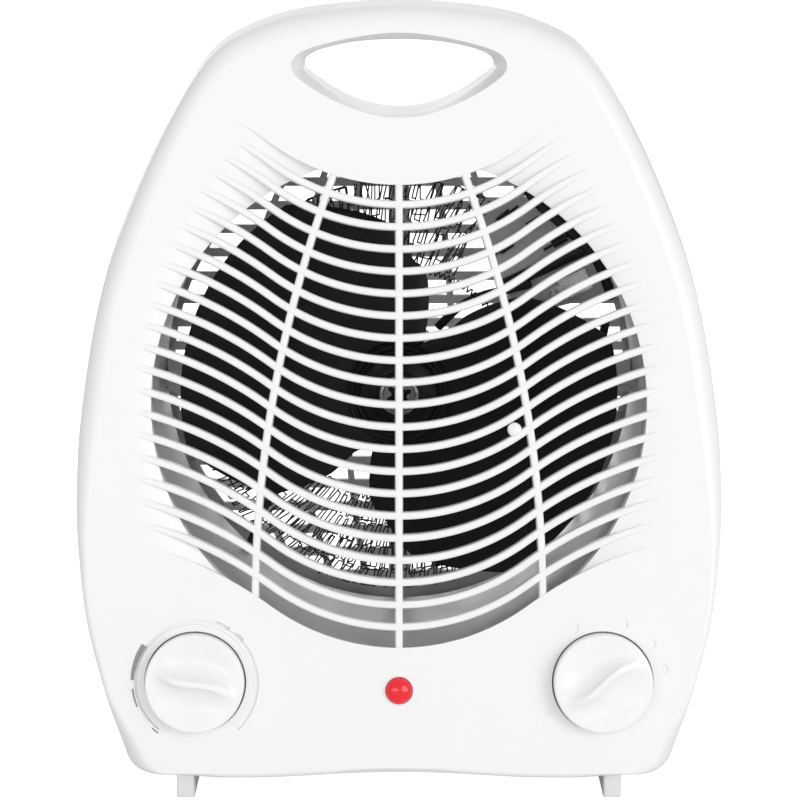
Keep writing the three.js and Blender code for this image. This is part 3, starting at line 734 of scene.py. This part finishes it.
# Hollow round the outlet: direction in degrees, where the hollow starts and how deep it gets
DISH_EDGE_ANGLES = (-90, -60, -45, -30, -20, -10, 0, 20, 38, 47, 57, 64, 90)
DISH_EDGE_RADII = (101, 101, 100, 98, 95, 90.5, 89, 91, 96, 101, 108, 110, 110)
DISH_DEPTHS = (4.2, 4.2, 3.8, 3.0, 2.2, 1.5, 1.3, 1.9, 3.0, 3.6, 4.2, 4.2, 4.2)


def dish_value(angle, table):
    """Reads a table of the hollow round the outlet, for a direction in radians."""
    folded = np.degrees(np.arctan2(np.sin(angle), np.abs(np.cos(angle))))
    return np.interp(folded, DISH_EDGE_ANGLES, table)


def dish_cutter():
    """Body above the hollow's surface, which falls away ever faster towards the outlet."""
    steps = 240
    angles = np.arange(steps) * 2 * math.pi / steps
    edge = dish_value(angles, DISH_EDGE_RADII)
    deepest = dish_value(angles, DISH_DEPTHS)
    for _ in range(8):
        edge = (np.roll(edge, 1) + 2 * edge + np.roll(edge, -1)) / 4
        deepest = (np.roll(deepest, 1) + 2 * deepest + np.roll(deepest, -1)) / 4

    def ring(radius, y):
        return np.stack([radius * np.cos(angles), y, AXIS_HEIGHT + radius * np.sin(angles)], axis=1)

    rings = [ring(edge, np.full(steps, -3.0))]
    inner = OPENING_RADIUS - 6
    for t in np.linspace(0, 1, 15):
        radius = edge + (inner - edge) * t
        u = (edge - radius) / (edge - OPENING_RADIUS)
        rings.append(ring(radius, deepest * np.clip(u, 0, 1.25) ** 1.8))
    return loft("dish", rings)


# Thermostat scale, in degrees and millimetres: each arc's start, end, first and last width. The dark bars
# are painted shade in the groove's floor; the notches are cut into it.
SCALE_DEPTH = 0.9
# These dark bars are painted shade where the groove lies in shadow.
SCALE_SHADE_BARS = ((178, 144, 1.0, 1.8), (203, 186, 0.5, 0.6), (234, 227, 0.5, 0.5))
SCALE_NOTCHES = ((70, 57, 1.3, 1.3), (50, 41, 1.3, 1.3))
SCALE_BAR_RADIUS = 20.4


def scale_groove():
    """Arc round the thermostat dial that widens clockwise, as a cutter on the face."""
    angles = np.radians(np.linspace(232, -48, 120))
    t = np.linspace(0, 1, 120)
    inner = 19.0 - 0.6 * t
    outer = inner + 0.5 + 2.0 * t
    centre = np.array([-DIAL_X, DIAL_Z])
    turn = np.stack([np.cos(angles), np.sin(angles)], axis=1)
    outline = np.concatenate([centre + outer[:, None] * turn, (centre + inner[:, None] * turn)[::-1]])
    return prism("groove", outline, -3, SCALE_DEPTH)


def scale_arcs(arcs, y0, y1):
    """Short bars round the thermostat dial, each from one angle and width to another."""
    bars = []
    for start, end, first, last in arcs:
        angles = np.radians(np.linspace(start, end, 24))
        width = np.linspace(first, last, 24)[:, None]
        turn = np.stack([np.cos(angles), np.sin(angles)], axis=1)
        centre = np.array([-DIAL_X, DIAL_Z])
        outer = centre + (SCALE_BAR_RADIUS + width / 2) * turn
        inner = centre + (SCALE_BAR_RADIUS - width / 2) * turn
        bars.append(prism("bar", np.concatenate([outer, inner[::-1]]), y0, y1))
    return bars


def build_scale_shade_bars():
    """Dark bars drawn thin and bedded in the groove's floor round the thermostat dial: painted shade that
    stands for the shadow in the groove.
    """
    bars = scale_arcs(SCALE_SHADE_BARS, -0.06, SCALE_DEPTH + 0.4)
    mesh = on_face(combine("bars", bars[0], [("UNION", bar) for bar in bars[1:]]))
    finish_piece("thermostat_scale_shade", mesh, "casing", SCALE_SHADE_GREY)


MODE_MARK_ANGLES = (208, 118, 71, 39, 12)
MODE_MARK_RADIUS = 20


def mode_marks():
    """Shallow round marks beside the mode dial, one for each setting."""
    marks = []
    for degrees in MODE_MARK_ANGLES:
        x = DIAL_X + MODE_MARK_RADIUS * math.cos(math.radians(degrees))
        z = DIAL_Z + MODE_MARK_RADIUS * math.sin(math.radians(degrees))
        marks.append(face_disc(1.7, -3, 0.5, x, z, 32))
    return marks


def on_face(mesh):
    mesh.transform(FACE_MATRIX)
    return mesh


def floor_scoop():
    """Cuts the arched slope under the front edge of the casing."""
    x = np.linspace(-52, 52, 60)
    arch = 7.0 * (1 - (x / 52) ** 2)
    slope = 0.95
    rings = []
    for y in (-70, -30):
        line = CASE_FLOOR + FLOOR_ARCH - 0.4 + arch - 7.0 + slope * (-front_depth(CASE_FLOOR) + 4.5 - y)
        top = np.stack([x, np.full(60, float(y)), line], axis=1)
        low = top[::-1].copy()
        low[:, 2] = -10
        rings.append(np.concatenate([top, low]))
    return loft("scoop", rings)


FRONT_POST_RADIUS = 3.6
FRONT_POST_BORE = 1.5
REAR_POST_RADIUS = 5.2
REAR_POST_BORE = 2.2


def screw_post(x, z, radius, y0, y1):
    return disc_body("post", radius, y0, y1, x, z, 32)


def build_front_casing():
    rim = front_rim()
    outer = shell_body("outer", -1, front_depth, rim, 0, SEAM_GAP, SEAM_CHAMFER)
    inner = shell_body("inner", -1, front_depth, rim, WALL, -1, 0)
    limit = shell_body("limit", -1, front_depth, rim, SKIN_COVER, 0, 0)
    backing = combine("backing", on_face(face_disc(DISH_LIMIT, 0.4, DISH_BACKING)), [
        ("DIFFERENCE", on_face(face_disc(OPENING_RADIUS - 0.8, -1, 12))),
        ("INTERSECT", limit.copy()),
    ])
    sleeve = combine("sleeve", handle_sleeve("sleeve", -1), [("INTERSECT", limit.copy())])
    bars = grille_bars()
    limits = [("INTERSECT", face_disc(DISH_LIMIT - 1, -1, 12))]
    grille = combine("grille", bars[0], [("UNION", bar) for bar in bars[1:]] + limits)
    grille = combine("grille", on_face(grille), [("INTERSECT", limit.copy())])

    steps = [("DIFFERENCE", inner), ("UNION", backing), ("UNION", sleeve)]
    for x, z in SCREW_POSTS:
        post = screw_post(x, z, FRONT_POST_RADIUS, 1 - front_depth(z), -SEAM_GAP)
        steps.append(("UNION", combine("post", post, [("INTERSECT", limit.copy())])))
    wells = [(-DIAL_X, DIAL_Z), (DIAL_X, DIAL_Z)]
    well_radius = DIAL_RADIUS + DIAL_GAP
    for x, z in wells:
        boss = face_disc(well_radius + WELL_WALL, 0.5, WELL_DEPTH + WELL_WALL, x, z, 96)
        steps.append(("UNION", on_face(boss)))
    steps.append(("DIFFERENCE", handle_cutter("hole", -1, front_depth)))
    for x, z in SCREW_POSTS:
        steps.append(("DIFFERENCE", screw_post(x, z, FRONT_POST_BORE, -16, 1)))
    for x, z in wells:
        steps.append(("DIFFERENCE", on_face(face_disc(well_radius, -5, WELL_DEPTH, x, z, 96))))
        steps.append(("DIFFERENCE", on_face(face_disc(SPINDLE_RADIUS + CLEARANCE, -5, 8, x, z, 32))))
    steps.append(("DIFFERENCE", on_face(face_disc(LAMP_RADIUS, -5, 8, 0, LAMP_Z, 64))))
    steps.append(("DIFFERENCE", on_face(scale_groove())))
    for mark in mode_marks() + scale_arcs(SCALE_NOTCHES, -3, SCALE_DEPTH + 0.6):
        steps.append(("DIFFERENCE", on_face(mark)))
    window = skin_window(SKIN_BOTTOM, SKIN_TOP, DISH_LIMIT, -6, 12)
    dish = combine("dish", dish_cutter(), [("INTERSECT", window.copy())])
    opening = combine("opening", face_disc(OPENING_RADIUS, -5, 11), [("INTERSECT", window)])
    steps.append(("DIFFERENCE", on_face(dish)))
    steps.append(("DIFFERENCE", on_face(opening)))
    steps.append(("UNION", grille))
    steps.append(("UNION", on_face(dome_stud())))
    steps.append(("DIFFERENCE", floor_scoop()))
    mesh = combine("front_shell", outer, steps)
    finish_piece("front_shell", mesh, "casing", SHELL, ["front_casing"], weighted=True)


STUD_PLACE = (37.4, 121.7)
STUD_RADIUS = 2.3


def dome_stud():
    """Small domed stud on the grille."""
    angles = np.linspace(0, math.pi / 2, 9)
    profile = [(STUD_RADIUS * math.cos(a), 0.6 - 1.3 * math.sin(a)) for a in angles[:-1]]
    profile += [(0.02, -0.7), (0.02, 4.0), (STUD_RADIUS, 4.0)]
    place = Matrix.Translation((STUD_PLACE[0], 0, STUD_PLACE[1]))
    return lathe("stud", profile, 32, place)


# Rear casing

def intake_bars():
    """Bars and bowed ribs of the intake, drawn against the plane y = 0 with -y inside."""
    bars = []
    bar = rounded_profile(INTAKE_BAR - 0.3, INTAKE_BAR, 3.4, 0.6)
    bar[:, 1] = -0.6 - bar[:, 1]
    for i in range(-9, 10):
        offset = i * INTAKE_PITCH
        half = math.sqrt((INTAKE_RADIUS + 0.8) ** 2 - offset**2)
        path = numbers([-half, AXIS_HEIGHT + offset], [half, AXIS_HEIGHT + offset])
        bars.append(sweep("bar", path, bar))
    z = np.linspace(AXIS_HEIGHT - INTAKE_RADIUS - 1, AXIS_HEIGHT + INTAKE_RADIUS + 1, 60)
    bow = 1 - 0.4 * ((z - AXIS_HEIGHT) / INTAKE_RADIUS) ** 2
    for n in range(-3, 4):
        width = INTAKE_POST_WIDTH if n == 0 else INTAKE_RIB_WIDTH
        rib = rounded_profile(width - 0.3, width, 2.8, 0.5)
        rib[:, 1] = -1.0 - rib[:, 1]
        bars.append(sweep("rib", np.stack([n * INTAKE_RIB_SPACING * bow, z], axis=1), rib))
    return bars


def seam_tongue():
    """Lip inside the rear shell that laps behind the front one and closes the seam."""
    def band(inset_out, inset_in, y0, y1):
        corners = ((inset_out, y0), (inset_out, y1), (inset_in, y1), (inset_in, y0))
        rings = [shell_ring(1, inset, lambda z: 0 * z + y) for inset, y in corners]
        faces = ring_faces(len(OUTLINE), len(rings), closed=True)
        return outward(mesh_from("band", np.concatenate(rings), faces))

    return band(WALL + 0.25, WALL + 1.4, -3, 4), band(WALL - 0.6, WALL + 1.4, 0.6, 4.3)


def build_rear_casing():
    shrinks = np.linspace(0.97, 0.02, 32)
    rim = Rim(REAR_EDGE_RADIUS)
    outer = shell_body("outer", 1, rear_depth, rim, 0, SEAM_GAP, SEAM_CHAMFER, shrinks)
    inner = shell_body("inner", 1, rear_depth, rim, WALL, -1, 0, shrinks)
    limit = shell_body("limit", 1, rear_depth, rim, SKIN_COVER, 0, 0, shrinks)
    sleeve = combine("sleeve", handle_sleeve("sleeve", 1), [("INTERSECT", limit.copy())])
    bars = intake_bars()
    ring = disc_body("ring", INTAKE_RADIUS + 0.8, -30, 20, 0, AXIS_HEIGHT, 192)
    grille = combine("grille", bars[0], [("UNION", bar) for bar in bars[1:]] + [("INTERSECT", ring)])
    grille.transform(BACK_MATRIX)

    steps = [("DIFFERENCE", inner), ("UNION", sleeve)]
    for band in seam_tongue():
        steps.append(("UNION", band))
    for x, z in SCREW_POSTS:
        post = screw_post(x, z, REAR_POST_RADIUS, SEAM_GAP, 70)
        steps.append(("UNION", combine("post", post, [("INTERSECT", limit.copy())])))
    steps.append(("DIFFERENCE", handle_cutter("hole", 1, rear_depth)))
    for x, z in SCREW_POSTS:
        steps.append(("DIFFERENCE", screw_post(x, z, REAR_POST_BORE, -1, 70)))
        steps.append(("DIFFERENCE", screw_post(x, z, SCREW_HEAD_RADIUS + CLEARANCE, 8, 80)))
    steps.append(("DIFFERENCE", disc_body("intake", INTAKE_RADIUS, 30, 70, 0, AXIS_HEIGHT, 192)))
    steps.append(("UNION", grille))
    steps.append(("DIFFERENCE", screw_post(INLET_X, INLET_Z, INLET_RADIUS, 30, 70)))
    mesh = combine("rear_shell", outer, steps)
    finish_piece("rear_shell", mesh, "casing", SHELL, ["rear_casing"], weighted=True)


# Feet

def build_feet():
    """Skids with rounded ends and a soft edge."""
    top = CASE_FLOOR - CLEARANCE
    low = numbers([-42.7, 0.6], [-42.3, 0.15], [-41.7, 0], [43, 0], [43.7, 0.2], [44, 0.7])
    high = numbers([46, top + 1.2], [22, top + 0.55], [0, top], [-22, top + 0.55], [-44, top + 1.2])
    profile = np.concatenate([low, high])
    middle = profile.mean(axis=0)
    half = FOOT_WIDTH / 2
    sections = ((-half, 0.5), (-half + 0.5, 0), (half - 0.5, 0), (half, 0.5))
    for name, side in (("left_foot", -1), ("right_foot", 1)):
        rings = []
        for x, shrink in sections:
            away = profile - middle
            length = np.linalg.norm(away, axis=1)[:, None]
            flat = middle + away * (1 - shrink / length)
            rings.append(np.stack([np.full(len(flat), side * FOOT_X + x), flat[:, 0], flat[:, 1]], axis=1))
        mesh = loft(name, rings)
        finish_piece(name + "_skid", mesh, "casing", SHELL, [name])


# Dials and lamp

GRIP_ANGLES = {"thermostat": -22, "mode": 28}


def dial_height(x, z):
    """Height of a dial's top above the face: an S-shaped crest between two scooped hollows."""
    radius = np.hypot(x, z)
    t = np.clip(x / (DIAL_RADIUS - 1), -1, 1)
    centre = GRIP_SWING * np.sin(math.pi * t)
    slope = GRIP_SWING * math.pi / (DIAL_RADIUS - 1) * np.cos(math.pi * t)
    across = (z - centre) / np.sqrt(1 + slope**2)
    fall = 1 - np.exp(-np.clip(np.abs(across) - 0.9, 0, None) / 2.6)
    rim = rounded((radius - 6) / (DIAL_RADIUS - 6.4))
    hollow = DIAL_HEIGHT - 1.6 * (1 - rim)
    crest = DIAL_HEIGHT + (GRIP_HEIGHT - 1.2) * (1 - rounded((radius - 5) / (DIAL_RADIUS - 5.2)))
    return crest * (1 - fall) + hollow * fall


def dial_mesh(name, grip_angle):
    """A dial's cap: its crest and hollows, a rounded edge and a hollow skirt with a spindle socket."""
    steps = 160
    angles = np.arange(steps) * 2 * math.pi / steps
    turn = math.radians(grip_angle)

    def ring(radius, y):
        depth = np.broadcast_to(y, steps)
        return np.stack([radius * np.cos(angles), depth, radius * np.sin(angles)], axis=1)

    rings = [ring(0.02, -dial_height(0.0, 0.0))]
    edge = 0.8
    for radius in np.linspace(0.5, DIAL_RADIUS - edge, 42):
        x, z = radius * np.cos(angles), radius * np.sin(angles)
        u = x * math.cos(turn) + z * math.sin(turn)
        v = -x * math.sin(turn) + z * math.cos(turn)
        rings.append(ring(radius, -dial_height(u, v)))
    top = -rings[-1][:, 1]
    for angle in np.linspace(0, math.pi / 2, 6)[1:]:
        lift = top - edge * (1 - math.cos(angle))
        rings.append(ring(DIAL_RADIUS - edge + edge * math.sin(angle), -lift))
    socket = SPINDLE_RADIUS + CLEARANCE
    skirt = DIAL_RADIUS - 1.8
    underside = (
        (DIAL_RADIUS, DIAL_SKIRT), (skirt, DIAL_SKIRT), (skirt, 1.0), (5, 1.0), (5, DIAL_SKIRT),
        (socket, DIAL_SKIRT), (socket, 3 - DIAL_HEIGHT),
    )
    for radius, y in underside:
        rings.append(ring(radius, float(y)))
    return loft(name, rings)


def build_dials():
    for name, x in (("thermostat", -DIAL_X), ("mode", DIAL_X)):
        mesh = dial_mesh(name, GRIP_ANGLES[name])
        mesh.transform(FACE_MATRIX @ Matrix.Translation((x, 0, DIAL_Z)))
        finish_piece(f"{name}_dial_cap", mesh, f"{name}_dial", DIAL, [f"{name}_knob"], sharp=50)


def build_lamp():
    """Plain domed lens in a thin raised collar."""
    place = FACE_MATRIX @ Matrix.Translation((0, 0, LAMP_Z))
    radius = LAMP_RADIUS - 0.15
    dome = [(radius * math.cos(a), -0.3 - 2.4 * math.sin(a)) for a in np.linspace(0, math.pi / 2, 14)[:-1]]
    profile = dome + [(0.02, -2.7), (0.02, 4), (radius, 4)]
    mesh = lathe("lens", profile, 96, place)
    finish_piece("lamp_dome", mesh, "casing", LENS, ["lamp_lens"])
    section = ((0, 0.2), (0, -0.3), (0.15, -0.5), (0.4, -0.5), (0.6, -0.3), (0.6, 0.2))
    collar = [(LAMP_RADIUS + out, y) for out, y in section]
    ring = lathe("collar", collar, 96, place)
    finish_piece("lamp_collar", ring, "casing", SHELL)


# Duct, element and fan

def build_duct():
    """Sheet ring with its front edge cut to follow the leaning face and turned out."""
    steps = 240
    angles = np.arange(steps) * 2 * math.pi / steps
    z_turn = np.sin(angles)

    def ring(radius, shift, back=None):
        z = radius * z_turn
        y = np.full(steps, float(back)) if back is not None else -FACE_DEPTH + FACE_SLOPE * z + shift
        return np.stack([radius * np.cos(angles), y, AXIS_HEIGHT + z], axis=1)

    outer = DUCT_RADIUS + DUCT_WALL
    rings = [
        ring(DUCT_RADIUS, 0, DUCT_BACK), ring(DUCT_RADIUS, 7.2), ring(DUCT_RADIUS + 0.2, 6.6),
        ring(DUCT_RADIUS + 0.6, 6.3), ring(outer - 0.1, 6.5), ring(outer, 7.0), ring(outer, 0, DUCT_BACK),
    ]
    mesh = outward(mesh_from("duct", np.concatenate(rings), ring_faces(steps, len(rings), closed=True)))
    finish_piece("duct_sleeve", mesh, "casing", ZINC, ["heater_duct"])


def wire_piece(name, points, radius, material, node=None):
    """Round wire or lead through a list of points."""
    curve = bpy.data.curves.new(name, "CURVE")
    curve.dimensions = "3D"
    curve.bevel_depth = radius * MM
    curve.bevel_resolution = 2
    curve.use_fill_caps = True
    spline = curve.splines.new("POLY")
    spline.points.add(len(points) - 1)
    for point, place in zip(spline.points, points):
        point.co = (*(TO_FRAME @ Vector(place)), 1)
    curve.materials.append(material)
    piece = add_object(name, curve)
    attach(piece, "casing")
    if node:
        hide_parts(node)


WIRE_START = 64
WIRE_SWEEP = 300
WIRE_BEND = 0.08


def zigzag_wire(name, inner, outer, y, pitch, seed, node=None):
    """Resistance wire folded to and fro across a band of the boards, clear of the parts plate."""
    random = np.random.default_rng(seed)
    middle = (inner + outer) / 2
    count = int(math.radians(WIRE_SWEEP) * middle / pitch)
    points = []
    for i in range(count):
        angle = math.radians(WIRE_START + WIRE_SWEEP * i / count) + random.normal(0, 0.16) * pitch / middle
        lean = random.normal(0.02, 0.015)
        depth = y + random.normal(0, 0.4)
        ends = []
        for reach, turn in ((inner, angle), (outer, angle - lean)):
            reach += random.normal(0, 0.25)
            ends.append(np.array((reach * math.cos(turn), depth, AXIS_HEIGHT + reach * math.sin(turn))))
        points += ends if i % 2 == 0 else ends[::-1]
    # A point near each end of a stroke keeps the wire at its full width in the sharp bends.
    path = []
    for start, end in zip(points[:-1], points[1:]):
        stroke = end - start
        path += [start, start + WIRE_BEND * stroke, start + (1 - WIRE_BEND) * stroke]
    wire_piece(name, path, WIRE_RADIUS, WIRE, node=node)


COIL_POINTS = 760
COIL_POINTS_PER_TURN = 6
COIL_START = 20
COIL_SWEEP = 320
COIL_REACH = 39.6
COIL_RADIUS = 0.9


def wound_coil(y):
    """Fine coil of wire that runs round the inner edge of the boards."""
    points = []
    for i in range(COIL_POINTS):
        angle = math.radians(COIL_START + COIL_SWEEP * i / COIL_POINTS)
        turn = 2 * math.pi * i / COIL_POINTS_PER_TURN
        reach = COIL_REACH + COIL_RADIUS * math.cos(turn)
        depth = y + COIL_RADIUS * math.sin(turn)
        points.append((reach * math.cos(angle), depth, AXIS_HEIGHT + reach * math.sin(angle)))
    wire_piece("wire_coil", points, WIRE_RADIUS, WIRE)


def build_wires():
    front = BOARD_FRONT - 0.8
    back = BOARD_BACK + 0.8
    zigzag_wire("wire_band_inner", 41.4, 47.8, front, 1.35, 2, "heating_wire_inner")
    zigzag_wire("wire_band_middle", 48.4, 55.2, front, 1.45, 3, "heating_wire_middle")
    zigzag_wire("wire_band_outer", 55.8, 62.6, front, 1.5, 4, "heating_wire_outer")
    zigzag_wire("wire_band_rim", 63.2, 69, front, 1.6, 7)
    zigzag_wire("wire_band_back_inner", 42, 51, back, 3.4, 5)
    zigzag_wire("wire_band_back_outer", 56, 68, back, 3.8, 6)
    wound_coil(front + 1)


# Sleeved leads between the controls, the safety parts and the motor: name, radius, path
LEADS = (
    ("lead_upper", 1.7, (
        (30, 14, 205), (40, 12.5, 198), (47, 12, 190), (55, 12, 183), (66, 12.5, 172), (72, 15, 158),
    )),
    ("lead_motor", 1.5, ((13, 8, 149), (20, 6, 156), (28, 6, 160), (36, 9, 161.5), (44, 14, 163))),
    ("lead_mode", 1.5, ((70, 16, 150), (66, 24, 128), (58, 27, 104), (50, 26, 82), (46, 22, 68))),
    ("lead_thermostat", 1.5, ((-14, 12, 118), (-28, 24, 104), (-44, 27, 88), (-52, 24, 70))),
)


def build_leads():
    for name, radius, path in LEADS:
        wire_piece(name, catmull_rom(path, 10), radius, PART_BLACK)


# Edges of a blade, as radius and direction in degrees
BLADE_FRONT_EDGE = ((15, 62), (39, 76), (44, 84), (56, 94), (66, 112), (72, 121))
BLADE_REAR_EDGE = ((15, 252), (24, 233), (34, 230), (52, 219), (65, 203), (72, 195))
BLADE_TWIST = 0.14


def blade_mesh(turn):
    """One wide blade, drawn about the fan's axis."""
    radii = np.linspace(14, FAN_RADIUS, 44)
    front = np.interp(radii, *zip(*BLADE_FRONT_EDGE))
    rear = np.interp(radii, *zip(*BLADE_REAR_EDGE))
    count = 40
    layers = []
    for shift in (-0.7, 0.7):
        grid = np.empty((len(radii), count, 3))
        for i, t in enumerate(np.linspace(0, 1, count)):
            degrees = front + (rear - front) * t
            angle = np.radians(degrees)
            lift = BLADE_TWIST * radii * np.sin(np.radians(degrees - 158))
            thin = 1 if 0 < i < count - 1 else 0.35
            grid[:, i, 0] = radii * np.cos(angle + turn)
            grid[:, i, 1] = FAN_PLANE - lift + shift * thin
            grid[:, i, 2] = AXIS_HEIGHT + radii * np.sin(angle + turn)
        layers.append(grid.reshape(-1, 3))
    faces = []
    size = len(radii) * count
    for r in range(len(radii) - 1):
        for i in range(count - 1):
            a = r * count + i
            faces.append((a, a + 1, a + count + 1, a + count))
            faces.append((size + a, size + a + count, size + a + count + 1, size + a + 1))
    rim = list(range(count))
    rim += [r * count + count - 1 for r in range(1, len(radii))]
    rim += [(len(radii) - 1) * count + i for i in range(count - 2, -1, -1)]
    rim += [r * count for r in range(len(radii) - 2, 0, -1)]
    for a, b in zip(rim, rim[1:] + rim[:1]):
        faces.append((a, size + a, size + b, b))
    return outward(mesh_from("blade", np.concatenate(layers), faces))


def build_fan():
    """Two blades on a ridged hub, and the star-shaped push-on clip in front of it."""
    centre = Matrix.Translation((0, FAN_PLANE, AXIS_HEIGHT))
    bore = 1.8
    hub = [(bore, 3), (bore, -5.2), (6.6, -5.6), (7.2, -5.3), (7.4, -3.2), (9.4, -3.0), (10.2, -2.4),
           (12.7, -2.4), (12.9, -3.8), (13.3, -4.3), (13.8, -4.5), (14.3, -4.3), (14.7, -3.8), (14.9, -2.6),
           (16.0, -2.6), (16.2, -3.4), (HUB_RADIUS - 0.4, -3.6), (HUB_RADIUS, -3.2), (HUB_RADIUS, 3)]
    steps = [("UNION", blade_mesh(0)), ("UNION", blade_mesh(math.pi))]
    mesh = combine("fan", lathe("hub", hub, 96, centre), steps)
    finish_piece("fan_rotor_moulding", mesh, "fan_rotor", FAN_BLACK, ["fan"], sharp=40)

    teeth = 6
    outline = []
    for i in range(teeth * 4):
        angle = 2 * math.pi * i / (teeth * 4)
        radius = (2.6, 4.3, 4.3, 2.6)[i % 4]
        outline.append((radius * math.cos(angle), radius * math.sin(angle)))
    section = [(2.0, -7.0), (4.9, -7.2), (5.6, -7.7), (6.4, -7.5), (6.7, -6.8), (6.7, -6.2), (2.0, -6.2)]
    ring = lathe("ring", section, 64, centre)
    star = prism("star", outline, -9, -5)
    star.transform(centre)
    clip = combine("clip", ring, [("DIFFERENCE", star)])
    replaced = ["fan_retaining_clip"]
    finish_piece("fan_star_clip", clip, "fan_rotor", SPRING_STEEL, replaced, sharp=30)


# Finishes of the CAD pieces that keep their shape

CAD_FINISHES = (
    (STEEL, [f"casing_screw_{i}" for i in (1, 2, 3, 4)]),
    (STEEL, ["motor_screw_1", "motor_screw_2", "motor_shaft", "thermal_cutout"]),
    (PART_BLACK, [f"rectifier_diode_{i}" for i in (1, 2, 3, 4)]),
    (PART_BLACK, ["cord_inlet_bush", "lamp_body", "mode_control", "thermostat_control"]),
    (PART_BLACK, ["motor_end_cap", "thermal_fuse"]),
    (MICA, [f"mica_board_{place}" for place in ("left", "lower", "right", "upper")]),
    (MICA, ["mica_component_plate"]),
    (BRASS, ["mode_spindle", "thermostat_spindle"]),
    (COPPER, ["motor_armature"]),
    (ZINC, ["motor_bracket", "motor_can"]),
    (FERRITE, ["motor_magnet_left", "motor_magnet_right"]),
)


def paint_cad_nodes():
    for material, names in CAD_FINISHES:
        for name in names:
            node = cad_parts[name]
            if not node.material_slots:
                node.data.materials.append(material)
            for item in node.material_slots:
                item.material = material


def build_floor():
    """Pale studio floor with a glow that only the camera sees, so it adds no light to the heater."""
    size = 24
    corners = [(-size, -size, 0), (size, -size, 0), (size, size, 0), (-size, size, 0)]
    mesh = mesh_from("floor", corners, [(0, 1, 2, 3)])
    finish = Finish("pale_floor", (0.9, 0.9, 0.9), 0.9, Specular_IOR_Level=0)
    finish.vary_colour(finish.noise(0.8, 2), (0.895, 0.895, 0.895), (0.905, 0.905, 0.905))
    finish.shader.inputs["Emission Color"].default_value = (1, 1, 1, 1)
    seen = finish.nodes.new("ShaderNodeLightPath").outputs["Is Camera Ray"]
    glow = finish.nodes.new("ShaderNodeMath")
    glow.operation = "MULTIPLY"
    glow.inputs[1].default_value = FLOOR_GLOW
    finish.links.new(seen, glow.inputs[0])
    finish.links.new(glow.outputs["Value"], finish.shader.inputs["Emission Strength"])
    mesh.materials.append(finish.material)
    floor = add_object("floor", mesh)


build_camera()
build_light()
build_floor()
paint_cad_nodes()
build_front_casing()
build_scale_shade_bars()
build_rear_casing()
build_feet()
build_dials()
build_lamp()
build_duct()
build_wires()
build_leads()
build_fan()
